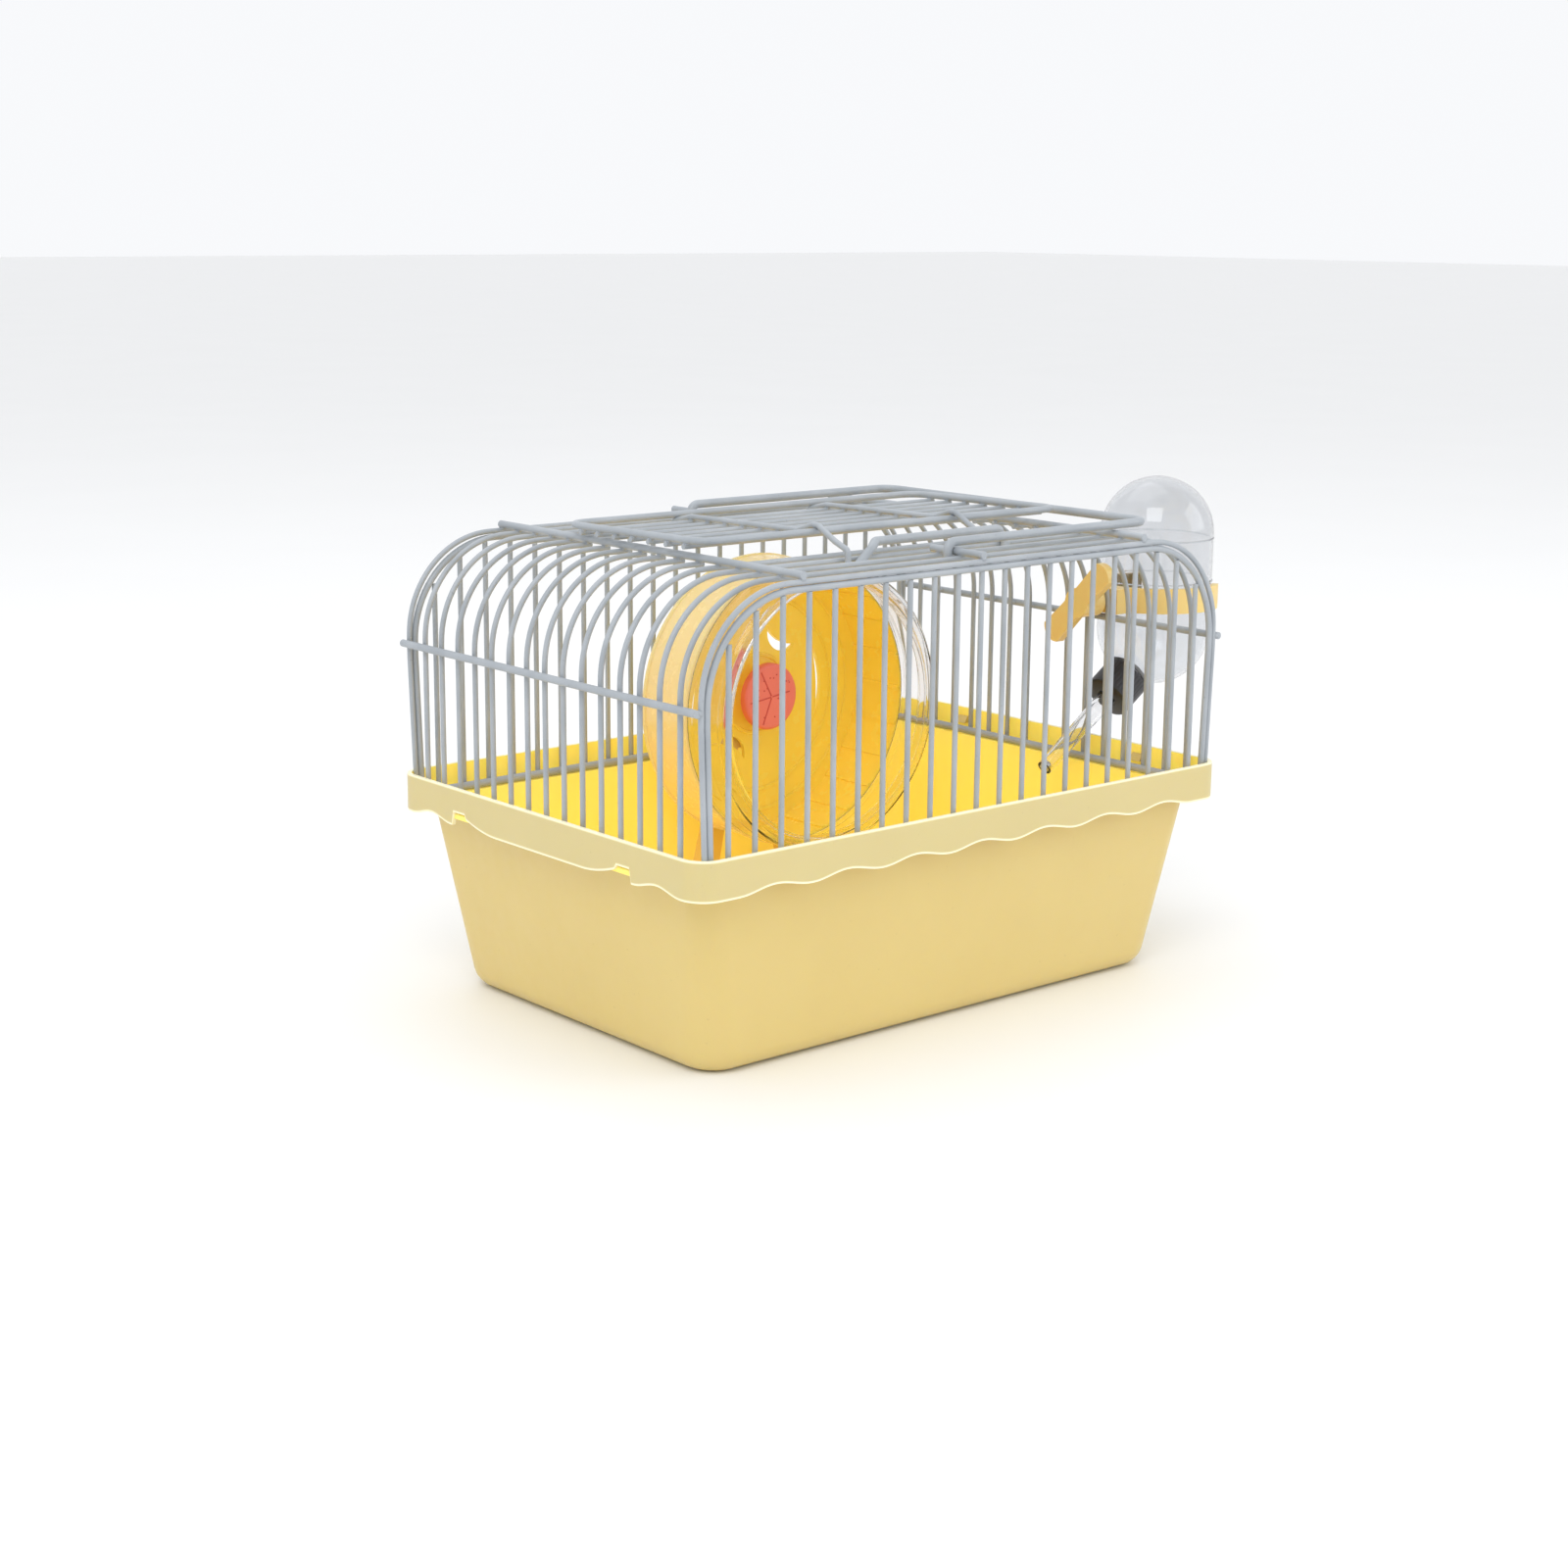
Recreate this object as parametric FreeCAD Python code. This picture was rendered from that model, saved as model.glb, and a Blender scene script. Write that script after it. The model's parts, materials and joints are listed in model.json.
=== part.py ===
import FreeCAD, Part
import math
import os

from FreeCAD import Vector

# ---------------------------------------------------------------------------
# Hamster cage: deep plastic tray, arched wire top with a roof door and a
# folding bail handle, running wheel on a stand, and a water bottle clipped to
# the right end.  Millimetres, +X along the long side towards the bottle, -Y
# the front, +Z up.  Origin: centre of the underside of the tray.
# ---------------------------------------------------------------------------

# tray
tray_length = 235.0           # over the rim skirt
tray_width = 165.0
tray_height = 74.3
tray_corner_radius = 8.5
foot_end_inset = 13.9         # underside of the tray, in from the rim's outside
foot_side_inset = 13.7
foot_corner_radius = 12.0
foot_edge_radius = 4.0
tray_wall = 1.6
tray_floor = 2.0
ledge_depth = 9.0             # ledge for the wire ring, below the rim's top
ledge_reach = 6.5             # how far the body stands in from the skirt's outside
skirt_depth = 12.8            # deepest part of the skirt
skirt_wave_height = 2.0
skirt_wave_pitch = 27.5
skirt_wave_margin = 7.0       # plain length at each end of a long side
end_lobe_start = 38.0         # the short side's long lobe ends at this distance from the middle
notch_place = 45.0            # lugs and notches, from the middle of a short side
notch_width = 7.0
notch_height = 4.6
lug_width = 5.0
lug_height = 2.6
lug_gap = 0.3
slot_width = 4.0              # drain slot through the ledge below a lug
slot_length = 9.0

# wire top
thin_wire = 1.8
cross_wire = 2.5
ring_wire = 2.8
arch_wire = 2.2
end_inset = 3.75              # centres of the end wires, in from the rim's outside
side_inset = 3.7              # centres of the edge hoops, in from the rim's outside
edge_foot_inset = 1.55        # the corner legs lean in by this at the tray
roof_rise = 79.55             # centre of the roof wires above the rim
hoop_count = 17
bar_spaces = 22               # spaces between the front's upright bars
hoop_corner_radius = 33.0
arch_corner_radius = 33.0
ring_corner_radius = 5.0
mid_wire_rise = 44.3          # wire across each end above the rim
roof_cross_inset = 38.35      # roof cross wires, in from the end wires
cut_end = 1.6                 # cut hoops pass the roof cross wire by this
door_hoop_rear = 4            # hoops that border the door opening
door_hoop_front = 12
latch_hoop = 13
bottle_hoop = 10              # hoop behind the gap that the bottle's clamp passes
top_seat_gap = 0.05
arch_gap = 0.1                # between an edge hoop and the arch inside it
weld = 0.1                    # how far welded wires sink into each other
frame_weld = 0.03             # the same for the wires laid over the door frame

# handle
handle_wire = 3.0
handle_overhang = 16.6        # handle's bar past the roof cross wire
handle_inset = 12.8           # handle's legs, in from the edge hoops
handle_corner_radius = 6.0
handle_eye_gap = 0.3
handle_curl_end = -10.0       # where the end of each curled eye stops, degrees from +X
pivot_wire_length = 24.0

# roof door
door_frame_wire = 2.4
door_cross_wire = 2.0
door_overhang = 3.1           # door frame past the roof cross wires
door_rear_margin = 2.9        # door frame from the hoops that border the opening
door_front_margin = 3.2
door_corner_radius = 7.0
door_bar_count = 7
door_rest_gap = 0.2
door_ajar = 1.0               # degrees that the door stands up at rest
door_wire_left = -33.0
door_wire_right = 28.0
hinge_gap = 0.15
hook_drop = 5.0

# latch clip
latch_wire = 3.0
latch_left = -19.0
latch_right = 37.5
latch_rise = 4.9              # bar above the latch hoop's centre
latch_tail_x = -31.0
latch_tail_drop = 3.0

# running wheel
wheel_radius = 51.0
wheel_depth = 43.9
wheel_setback = 56.2          # wheel's front edge from the rear of the tray's foot
wheel_x = 18.5
wheel_height = 89.5
wheel_wall = 1.6
wheel_clear_depth = 18.4      # clear front cover's share of the depth
wheel_mouth_radius = 45.5
cover_lap = 4.0
tread_count = 24
tread_height = 0.6
tread_width = 1.6
hub_radius = 6.0
hub_length = 6.0
hub_cap_radius = 12.2
hub_cap_height = 3.0
axle_diameter = 3.0
axle_gap = 0.05
bush_wall = 1.0
window_radius = 7.5           # crescent windows near the hub
window_place = 25.4
window_cut_radius = 13.6
window_width = 3.5
window_turn = 30.0            # degrees from straight up
slim_radius = 31.0            # long slim windows
slim_cut_radius = 66.4
slim_width = 2.0
slim_turn = 86.0
stand_thickness = 4.0
stand_gap = 1.2
stand_top_radius = 8.0
stand_foot_width = 62.0
stand_foot_depth = 44.0
stand_foot_height = 3.0
stand_window_inset = 6.0

# water bottle
bottle_radius = 20.8
bottle_wall = 1.0
bottle_standoff = 30.25       # bottle's middle from the end wires
bottle_aside = 0.175          # bottle's middle from the middle of a gap between hoops
bottle_top_rise = 93.7        # above the rim
bottle_bottom_rise = 16.7
neck_radius = 7.2
neck_bore = 5.6
neck_tilt = 34.6              # degrees below level
cap_radius = 8.75
cap_length = 12.0
cap_wall = 1.5
cap_standoff = 11.15          # cap's middle from the end wires
cap_rise = 17.05
cap_rib_count = 18
cap_rib = 0.5
seal_thickness = 1.4
spout_length = 39.0
spout_side_gap = 0.525        # spout's thick end from the hoops beside it
spout_tip_radius = 2.7
ball_radius = 1.8
ball_gap = 0.1
ball_depth = 1.1              # ball's middle behind the spout's end face

# bottle holder
holder_height = 9.0
holder_thickness = 2.2
holder_lift = 0.4             # above the end's cross wire
holder_gap = 0.3
holder_half_opening = 55.0    # degrees each side of +X left open
holder_lip = 2.6
holder_arm_width = 16.0
wire_gap = 0.3
stem_radius = 2.6
stem_gap = 0.1
wing_length = 34.0
wing_end_width = 13.0
wing_waist = 8.0
wing_thickness = 3.6
wing_standoff = 7.2           # wing from the wires, clear of the roof's bend
wing_boss_gap = 1.1
wing_angle = 45.0

# derived places
foot_length = tray_length - 2 * foot_end_inset
foot_width = tray_width - 2 * foot_side_inset
end_x = tray_length / 2 - end_inset
edge_y = tray_width / 2 - side_inset
hoop_pitch = 2 * edge_y / (hoop_count - 1)
bar_pitch = 2 * end_x / bar_spaces
roof_height = tray_height + roof_rise
mid_wire_height = tray_height + mid_wire_rise
roof_cross_place = end_x - roof_cross_inset
ledge_z = tray_height - ledge_depth
ring_z = ledge_z + ring_wire / 2 + top_seat_gap
wire_foot_z = ledge_z + top_seat_gap
ring_x = end_x - (thin_wire + ring_wire) / 2 + weld
ring_y = edge_y - (thin_wire + ring_wire) / 2 + weld
roof_cross_z = roof_height + (thin_wire + cross_wire) / 2 - weld
arch_drop = (thin_wire + arch_wire) / 2 + arch_gap
arch_roof = roof_height - arch_drop
lean_top = mid_wire_height - 2 * cross_wire
arch_x = end_x - arch_drop


def hoop_y(index):
    return edge_y - index * hoop_pitch


handle_length = roof_cross_place + handle_overhang
handle_half_width = edge_y - handle_inset
door_half_length = roof_cross_place + door_overhang
door_rear_edge = hoop_y(door_hoop_rear) - door_rear_margin
door_front_edge = hoop_y(door_hoop_front) + door_front_margin
wheel_front = foot_width / 2 - wheel_setback
bottle_x = end_x + bottle_standoff
bottle_y = hoop_y(bottle_hoop) - hoop_pitch / 2 - bottle_aside
bottle_top = tray_height + bottle_top_rise
bottle_bottom = tray_height + bottle_bottom_rise
cap_x = end_x + cap_standoff
cap_z = tray_height + cap_rise
spout_root_radius = (hoop_pitch - thin_wire) / 2 - spout_side_gap


def unit(vector):
    copy = Vector(vector)
    copy.normalize()
    return copy


def bent_path(points, radius):
    """Straight runs through the points, joined by tangent arcs."""
    edges = []
    start = points[0]
    for before, corner, after in zip(points, points[1:], points[2:]):
        back = unit(before - corner)
        ahead = unit(after - corner)
        half = back.getAngle(ahead) / 2
        reach = radius / math.tan(half)
        middle = unit(back + ahead)
        centre = corner + middle * (radius / math.sin(half))
        first = corner + back * reach
        last = corner + ahead * reach
        if (first - start).Length > 1e-4:
            edges.append(Part.LineSegment(start, first).toShape())
        edges.append(Part.Arc(first, centre - middle * radius, last).toShape())
        start = last
    if (points[-1] - start).Length > 1e-4:
        edges.append(Part.LineSegment(start, points[-1]).toShape())
    return Part.Wire(edges)


def swept_wire(path, diameter):
    first = path.OrderedEdges[0]
    start = first.valueAt(first.FirstParameter)
    ahead = first.tangentAt(first.FirstParameter)
    if first.Orientation == "Reversed":
        start = first.valueAt(first.LastParameter)
        ahead = first.tangentAt(first.LastParameter) * -1
    ring = Part.Wire([Part.makeCircle(diameter / 2, start, ahead)])
    return path.makePipeShell([ring], True, False)


def bent_wire(points, radius, diameter):
    return swept_wire(bent_path(points, radius), diameter)


def rod(start, end, diameter):
    return Part.makeCylinder(diameter / 2, (end - start).Length, start, end - start)


def rounded_loop(half_x, half_y, radius, z):
    """Closed rectangle with rounded corners, in a level plane."""
    inner_x = half_x - radius
    inner_y = half_y - radius
    slant = radius * math.sqrt(0.5)
    edges = []
    for turn in range(4):
        angle = math.radians(90 * turn)
        side_x = (inner_x, inner_y)[turn % 2]
        side_y = (inner_y, inner_x)[turn % 2]
        points = [
            Vector(side_x + radius, -side_y, z),
            Vector(side_x + radius, side_y, z),
            Vector(side_x + slant, side_y + slant, z),
            Vector(side_x, side_y + radius, z),
        ]
        spun = []
        for p in points:
            spun.append(Vector(p.x * math.cos(angle) - p.y * math.sin(angle),
                               p.x * math.sin(angle) + p.y * math.cos(angle), p.z))
        edges.append(Part.LineSegment(spun[0], spun[1]).toShape())
        edges.append(Part.Arc(spun[1], spun[2], spun[3]).toShape())
    return Part.Wire(edges)


def rounded_block(length, width, radius, z, height):
    loop = rounded_loop(length / 2, width / 2, radius, z)
    return Part.Face(loop).extrude(Vector(0, 0, height))


def tapered_block(low, high):
    return Part.makeLoft([low, high], True, True)


def export(node, shape):
    shape.exportStep("parts/" + node + ".step")


# --- tray -------------------------------------------------------------------
body_top_length = tray_length - 2 * ledge_reach
body_top_width = tray_width - 2 * ledge_reach


def skirt_side_cutter():
    """Wavy lower edge of the skirt along a long side, as a block below it."""
    reach = tray_length / 2 - tray_corner_radius - skirt_wave_margin
    low = tray_height - skirt_depth
    steps = 4 * round(2 * reach / skirt_wave_pitch)
    points = []
    for step in range(steps + 1):
        x = -reach + 2 * reach * step / steps
        phase = math.pi * step / 2
        points.append(Vector(x, 0, low + skirt_wave_height * (1 - math.cos(phase)) / 2))
    curve = Part.BSplineCurve()
    curve.interpolate(points)
    below = low - 5
    edges = [
        curve.toShape(),
        Part.makeLine(points[-1], Vector(reach, 0, below)),
        Part.makeLine(Vector(reach, 0, below), Vector(-reach, 0, below)),
        Part.makeLine(Vector(-reach, 0, below), points[0]),
    ]
    face = Part.Face(Part.Wire(edges))
    return face.extrude(Vector(0, tray_width + 2, 0)).translated(Vector(0, -tray_width / 2 - 1, 0))


def skirt_end_cutter():
    """Scalloped lower edge of the skirt along a short side."""
    low = tray_height - skirt_depth
    notch_inner = notch_place - notch_width / 2
    notch_outer = notch_place + notch_width / 2
    corner = tray_width / 2 - tray_corner_radius
    between = (notch_outer + corner) / 2
    lobe = Part.BSplineCurve()
    lobe.interpolate([
        Vector(0, end_lobe_start - 14, low),
        Vector(0, end_lobe_start - 5, low + 1.1),
        Vector(0, notch_inner, low + 3.3),
    ])
    bump = Part.BSplineCurve()
    bump.interpolate([
        Vector(0, notch_outer, low),
        Vector(0, notch_outer + 3.0, low + 0.3),
        Vector(0, between + 1.5, low + skirt_wave_height),
        Vector(0, corner - 1.5, low + 0.4),
        Vector(0, corner, low),
    ])
    notch_top = low + notch_height
    below = low - 5
    edges = [
        lobe.toShape(),
        Part.makeLine(Vector(0, notch_inner, low + 3.3), Vector(0, notch_inner, notch_top)),
        Part.makeLine(Vector(0, notch_inner, notch_top), Vector(0, notch_outer, notch_top)),
        Part.makeLine(Vector(0, notch_outer, notch_top), Vector(0, notch_outer, low)),
        bump.toShape(),
        Part.makeLine(Vector(0, corner, low), Vector(0, corner, below)),
        Part.makeLine(Vector(0, corner, below), Vector(0, end_lobe_start - 14, below)),
        Part.makeLine(Vector(0, end_lobe_start - 14, below), Vector(0, end_lobe_start - 14, low)),
    ]
    face = Part.Face(Part.Wire(edges))
    block = face.extrude(Vector(tray_length + 2, 0, 0)).translated(Vector(-tray_length / 2 - 1, 0, 0))
    return block.fuse(block.mirror(Vector(0, 0, 0), Vector(0, 1, 0)))


def make_tray():
    outside = tapered_block(
        rounded_loop(foot_length / 2, foot_width / 2, foot_corner_radius, 0),
        rounded_loop(body_top_length / 2, body_top_width / 2, tray_corner_radius, ledge_z))
    foot_edges = [e for e in outside.Edges if e.BoundBox.ZMax < 0.01]
    outside = outside.makeFillet(foot_edge_radius, foot_edges)
    inside = tapered_block(
        rounded_loop(foot_length / 2 - tray_wall, foot_width / 2 - tray_wall,
                     foot_corner_radius - tray_wall, tray_floor),
        rounded_loop(body_top_length / 2 - tray_wall, body_top_width / 2 - tray_wall,
                     tray_corner_radius - tray_wall, ledge_z + 0.01))
    floor_edges = [e for e in inside.Edges if e.BoundBox.ZMax < tray_floor + 0.01]
    inside = inside.makeFillet(foot_edge_radius - tray_wall + 0.5, floor_edges)
    skirt_z = tray_height - skirt_depth
    skirt = rounded_block(tray_length, tray_width, tray_corner_radius, skirt_z, skirt_depth)
    skirt = skirt.cut(rounded_block(tray_length - 2 * tray_wall, tray_width - 2 * tray_wall,
                                    tray_corner_radius - tray_wall, skirt_z - 1, skirt_depth + 2))
    skirt = skirt.cut(skirt_side_cutter()).cut(skirt_end_cutter())
    ledge = rounded_block(tray_length - tray_wall, tray_width - tray_wall,
                          tray_corner_radius - tray_wall / 2, ledge_z - tray_wall, tray_wall)
    tray = outside.fuse(ledge).fuse(skirt).cut(inside)
    lug_x = tray_length / 2 - tray_wall
    lug_reach = lug_x - (ring_x + ring_wire / 2 + lug_gap)
    lug_z = ring_z + ring_wire / 2 + 0.4
    for side in (-1, 1):
        for end in (-1, 1):
            lug = Part.makeBox(lug_reach + tray_wall / 2, lug_width, lug_height)
            lug.translate(Vector(lug_x - lug_reach, -lug_width / 2, lug_z))
            slot = Part.makeBox(slot_width, slot_length, 3 * tray_wall)
            slot.translate(Vector(ring_x - slot_width / 2 - 0.6, -slot_length / 2, ledge_z - 2 * tray_wall))
            if end < 0:
                lug = lug.mirror(Vector(0, 0, 0), Vector(1, 0, 0))
                slot = slot.mirror(Vector(0, 0, 0), Vector(1, 0, 0))
            lug.translate(Vector(0, side * notch_place, 0))
            slot.translate(Vector(0, side * notch_place, 0))
            tray = tray.fuse(lug).cut(slot)
    return tray.removeSplitter()


os.makedirs("parts", exist_ok=True)
export("tray", make_tray())


# --- wire top ---------------------------------------------------------------
def hoop_points(y, half_length, roof):
    return [
        Vector(-half_length, y, wire_foot_z),
        Vector(-half_length, y, roof),
        Vector(half_length, y, roof),
        Vector(half_length, y, wire_foot_z),
    ]


def leaning_points(y, half_length, roof, lean_top):
    """Hoop whose legs lean in below lean_top, to stand inside the tray's corners."""
    points = hoop_points(y, half_length, roof)
    points[0] += Vector(edge_foot_inset, 0, 0)
    points[3] -= Vector(edge_foot_inset, 0, 0)
    points.insert(3, Vector(half_length, y, lean_top))
    points.insert(1, Vector(-half_length, y, lean_top))
    return points


def hoop(index):
    return bent_wire(hoop_points(hoop_y(index), end_x, roof_height), hoop_corner_radius, thin_wire)


def edge_hoop(side):
    points = leaning_points(side * edge_y, end_x, roof_height, lean_top)
    return bent_wire(points, hoop_corner_radius, thin_wire)


def cut_hoop(index, side):
    y = hoop_y(index)
    points = [
        Vector(side * end_x, y, wire_foot_z),
        Vector(side * end_x, y, roof_height),
        Vector(side * (roof_cross_place - cut_end), y, roof_height),
    ]
    return bent_wire(points, hoop_corner_radius, thin_wire)


def make_base_ring():
    loop = rounded_loop(ring_x, ring_y, ring_corner_radius, ring_z)
    return swept_wire(loop, ring_wire)


def panel_arch(side):
    points = leaning_points(side * edge_y, arch_x, arch_roof, lean_top)
    return bent_wire(points, arch_corner_radius, arch_wire)


def arch_underside(x):
    """Height of the panel arch's lower surface above a place along it."""
    centre_x = arch_x - arch_corner_radius
    centre_z = arch_roof - arch_corner_radius
    inner = arch_corner_radius - arch_wire / 2
    if abs(x) <= centre_x:
        return arch_roof - arch_wire / 2
    return centre_z + math.sqrt(inner ** 2 - (abs(x) - centre_x) ** 2)


def upright_bars(side):
    bars = []
    for number in range(1, bar_spaces):
        x = -end_x + number * bar_pitch
        top = arch_underside(abs(x) + thin_wire / 2) + weld
        bars.append(rod(Vector(x, side * edge_y, wire_foot_z), Vector(x, side * edge_y, top), thin_wire))
    return Part.makeCompound(bars)


export("base_ring", make_base_ring())
export("front_arch", panel_arch(-1))
export("rear_arch", panel_arch(1))
export("front_bars", upright_bars(-1))
export("rear_bars", upright_bars(1))
export("front_edge_hoop", edge_hoop(-1))
export("rear_edge_hoop", edge_hoop(1))
export("front_hoops", Part.makeCompound([hoop(i) for i in range(door_hoop_front, hoop_count - 1)]))
export("rear_hoops", Part.makeCompound([hoop(i) for i in range(1, door_hoop_rear + 1)]))
for name, side in (("left", -1), ("right", 1)):
    cut = [cut_hoop(i, side) for i in range(door_hoop_rear + 1, door_hoop_front)]
    export(name + "_cut_hoops", Part.makeCompound(cut))
    side_x = side * (end_x + (thin_wire + cross_wire) / 2 - weld)
    export(name + "_cross_wire",
           rod(Vector(side_x, -edge_y - thin_wire / 2, mid_wire_height),
               Vector(side_x, edge_y + thin_wire / 2, mid_wire_height), cross_wire))
    export("roof_" + name + "_cross_wire",
           rod(Vector(side * roof_cross_place, -edge_y - thin_wire / 2, roof_cross_z),
               Vector(side * roof_cross_place, edge_y + thin_wire / 2, roof_cross_z), cross_wire))
for name, side in (("front", -1), ("rear", 1)):
    outer = side * (edge_y + thin_wire / 2)
    export(name + "_pivot_wire",
           rod(Vector(0, outer, roof_cross_z), Vector(0, outer - side * pivot_wire_length, roof_cross_z),
               cross_wire))


# --- handle -----------------------------------------------------------------
def make_handle():
    eye = cross_wire / 2 + handle_eye_gap + handle_wire / 2
    leg_z = roof_cross_z + eye
    points = [
        Vector(0, -handle_half_width, leg_z),
        Vector(handle_length, -handle_half_width, leg_z),
        Vector(handle_length, handle_half_width, leg_z),
        Vector(0, handle_half_width, leg_z),
    ]
    curl = []
    for angle in (handle_curl_end, handle_curl_end - 130, handle_curl_end - 260):
        reach = math.radians(angle)
        curl.append(Vector(eye * math.cos(reach), 0, roof_cross_z + eye * math.sin(reach)))
    aside = Vector(0, handle_half_width, 0)
    front_curl = Part.Arc(curl[0] - aside, curl[1] - aside, curl[2] - aside).toShape()
    rear_curl = Part.Arc(curl[2] + aside, curl[1] + aside, curl[0] + aside).toShape()
    legs = bent_path(points, handle_corner_radius)
    return swept_wire(Part.Wire([front_curl] + legs.OrderedEdges + [rear_curl]), handle_wire)


export("handle", make_handle())

# --- roof door --------------------------------------------------------------
hinge_y = hoop_y(door_hoop_rear)
latch_y = hoop_y(latch_hoop)
door_bar_z = roof_cross_z + cross_wire / 2 + door_rest_gap + thin_wire / 2
door_frame_z = door_bar_z + (thin_wire + door_frame_wire) / 2 - weld
door_cross_z = door_bar_z + (thin_wire + door_cross_wire) / 2 - weld
over_frame_z = door_frame_z + (door_frame_wire + door_cross_wire) / 2 - frame_weld
under_frame_z = door_frame_z - (door_frame_wire + door_cross_wire) / 2 + frame_weld
hinge_radius = (thin_wire + door_cross_wire) / 2 + hinge_gap
door_bar_pitch = (door_rear_edge - door_front_edge) / (door_bar_count + 1)


def raised(shape):
    """The door as it stands, a little above its closed place."""
    return shape.rotated(Vector(0, hinge_y, roof_height), Vector(1, 0, 0), -door_ajar)


def make_door_frame():
    half_y = (door_rear_edge - door_front_edge) / 2
    loop = rounded_loop(door_half_length, half_y, door_corner_radius, door_frame_z)
    loop.translate(Vector(0, (door_rear_edge + door_front_edge) / 2, 0))
    return swept_wire(loop, door_frame_wire)


def make_door_bars():
    half = door_half_length + door_frame_wire / 2
    bars = []
    for number in range(1, door_bar_count + 1):
        y = door_front_edge + number * door_bar_pitch
        bars.append(rod(Vector(-half, y, door_bar_z), Vector(half, y, door_bar_z), thin_wire))
    return Part.makeCompound(bars)


def hinge_eye(x):
    return Part.makeTorus(hinge_radius, door_cross_wire / 2, Vector(x, hinge_y, roof_height),
                          Vector(1, 0, 0))


def door_cross(x, front_points):
    last_bar = door_rear_edge - door_bar_pitch
    first_bar = door_front_edge + door_bar_pitch
    points = [
        Vector(x, hinge_y, roof_height + hinge_radius),
        Vector(x, door_rear_edge + 0.2, under_frame_z),
        Vector(x, last_bar + 0.5, door_cross_z),
        Vector(x, first_bar - 0.5, door_cross_z),
        Vector(x, door_front_edge + 1.0, over_frame_z),
    ] + front_points
    wire = bent_wire(points, 1.8, door_cross_wire)
    return wire.fuse(hinge_eye(x))


def make_door_cross_wires():
    hook_y = latch_y - (thin_wire + door_cross_wire) / 2 - 0.7
    hook_top = roof_height + (thin_wire + door_cross_wire) / 2 + 1.0
    hooked = [
        Vector(door_wire_left, door_front_edge - 1.5, over_frame_z - 0.1),
        Vector(door_wire_left, latch_y + 3.6, hook_top + 1.2),
        Vector(door_wire_left, hook_y, hook_top - 1.2),
        Vector(door_wire_left, hook_y - 0.2, roof_height - hook_drop),
    ]
    end_y = latch_y + (latch_wire / 2 + 0.9)
    straight = [
        Vector(door_wire_right, door_front_edge - 1.5, over_frame_z - 0.1),
        Vector(door_wire_right, end_y, roof_height + latch_rise - 1.4),
    ]
    return Part.makeCompound([door_cross(door_wire_left, hooked), door_cross(door_wire_right, straight)])


export("door_frame", raised(make_door_frame()))
export("door_bars", raised(make_door_bars()))
export("door_cross_wires", raised(make_door_cross_wires()))


# --- latch clip -------------------------------------------------------------
def make_latch_clip():
    eye = (thin_wire + latch_wire) / 2 + hinge_gap
    bar_z = roof_height + latch_rise
    tail_y = latch_y - (thin_wire + latch_wire) / 2 - 1.0
    points = [
        Vector(latch_tail_x, tail_y, roof_height - latch_tail_drop),
        Vector(latch_left - 4.5, tail_y + 0.4, roof_height + 3.0),
        Vector(latch_left, latch_y, bar_z),
        Vector(latch_right, latch_y, bar_z),
        Vector(latch_right, latch_y, roof_height + eye),
    ]
    wire = bent_wire(points, 2.0, latch_wire)
    ring = Part.makeTorus(eye, latch_wire / 2, Vector(latch_right, latch_y, roof_height), Vector(1, 0, 0))
    return wire.fuse(ring)


export("latch_clip", make_latch_clip())

# --- running wheel ----------------------------------------------------------
wheel_back = wheel_front + wheel_depth
dish_front = wheel_front + wheel_clear_depth
hub_face = wheel_back - wheel_wall - hub_length
axle_radius = axle_diameter / 2
bush_radius = axle_radius + axle_gap + bush_wall


def disc(radius, y, length):
    """Cylinder on the wheel's axis, running back from y."""
    return Part.makeCylinder(radius, length, Vector(wheel_x, y, wheel_height), Vector(0, 1, 0))


def tread(number, y, length, outer):
    bar = Part.makeBox(tread_width, length, tread_height + 0.4)
    bar.translate(Vector(wheel_x - tread_width / 2, y, wheel_height - outer))
    return bar.rotated(Vector(wheel_x, 0, wheel_height), Vector(0, 1, 0), 360.0 * number / tread_count)


def crescents(radius, place, cut_radius, cut_place, turn):
    """Two opposite openings through the wheel's back, each one circle less another."""
    start = wheel_back - 3 * wheel_wall
    hole = Part.makeCylinder(radius, 5 * wheel_wall, Vector(wheel_x, start, wheel_height + place),
                             Vector(0, 1, 0))
    hole = hole.cut(Part.makeCylinder(cut_radius, 5 * wheel_wall,
                                      Vector(wheel_x, start, wheel_height + cut_place), Vector(0, 1, 0)))
    centre = Vector(wheel_x, 0, wheel_height)
    hole = hole.rotated(centre, Vector(0, 1, 0), turn)
    return Part.makeCompound([hole, hole.rotated(centre, Vector(0, 1, 0), 180)])


def make_wheel_dish():
    inner = wheel_radius - wheel_wall
    shape = disc(wheel_radius, dish_front, wheel_back - dish_front)
    shape = shape.cut(disc(inner, dish_front - 1, wheel_back - dish_front - wheel_wall + 1))
    shape = shape.fuse(disc(hub_radius, hub_face, hub_length + wheel_wall / 2))
    for number in range(tread_count):
        shape = shape.fuse(tread(number, dish_front, wheel_back - dish_front - wheel_wall / 2, inner + 0.4))
    window_cut_place = window_place - window_radius + window_width + window_cut_radius
    slim_cut_place = slim_radius - slim_width - slim_cut_radius
    shape = shape.cut(crescents(window_radius, window_place, window_cut_radius, window_cut_place,
                                window_turn))
    shape = shape.cut(crescents(slim_radius, 0, slim_cut_radius, slim_cut_place, slim_turn))
    return shape.cut(disc(bush_radius, hub_face - 1, wheel_depth))


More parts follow.
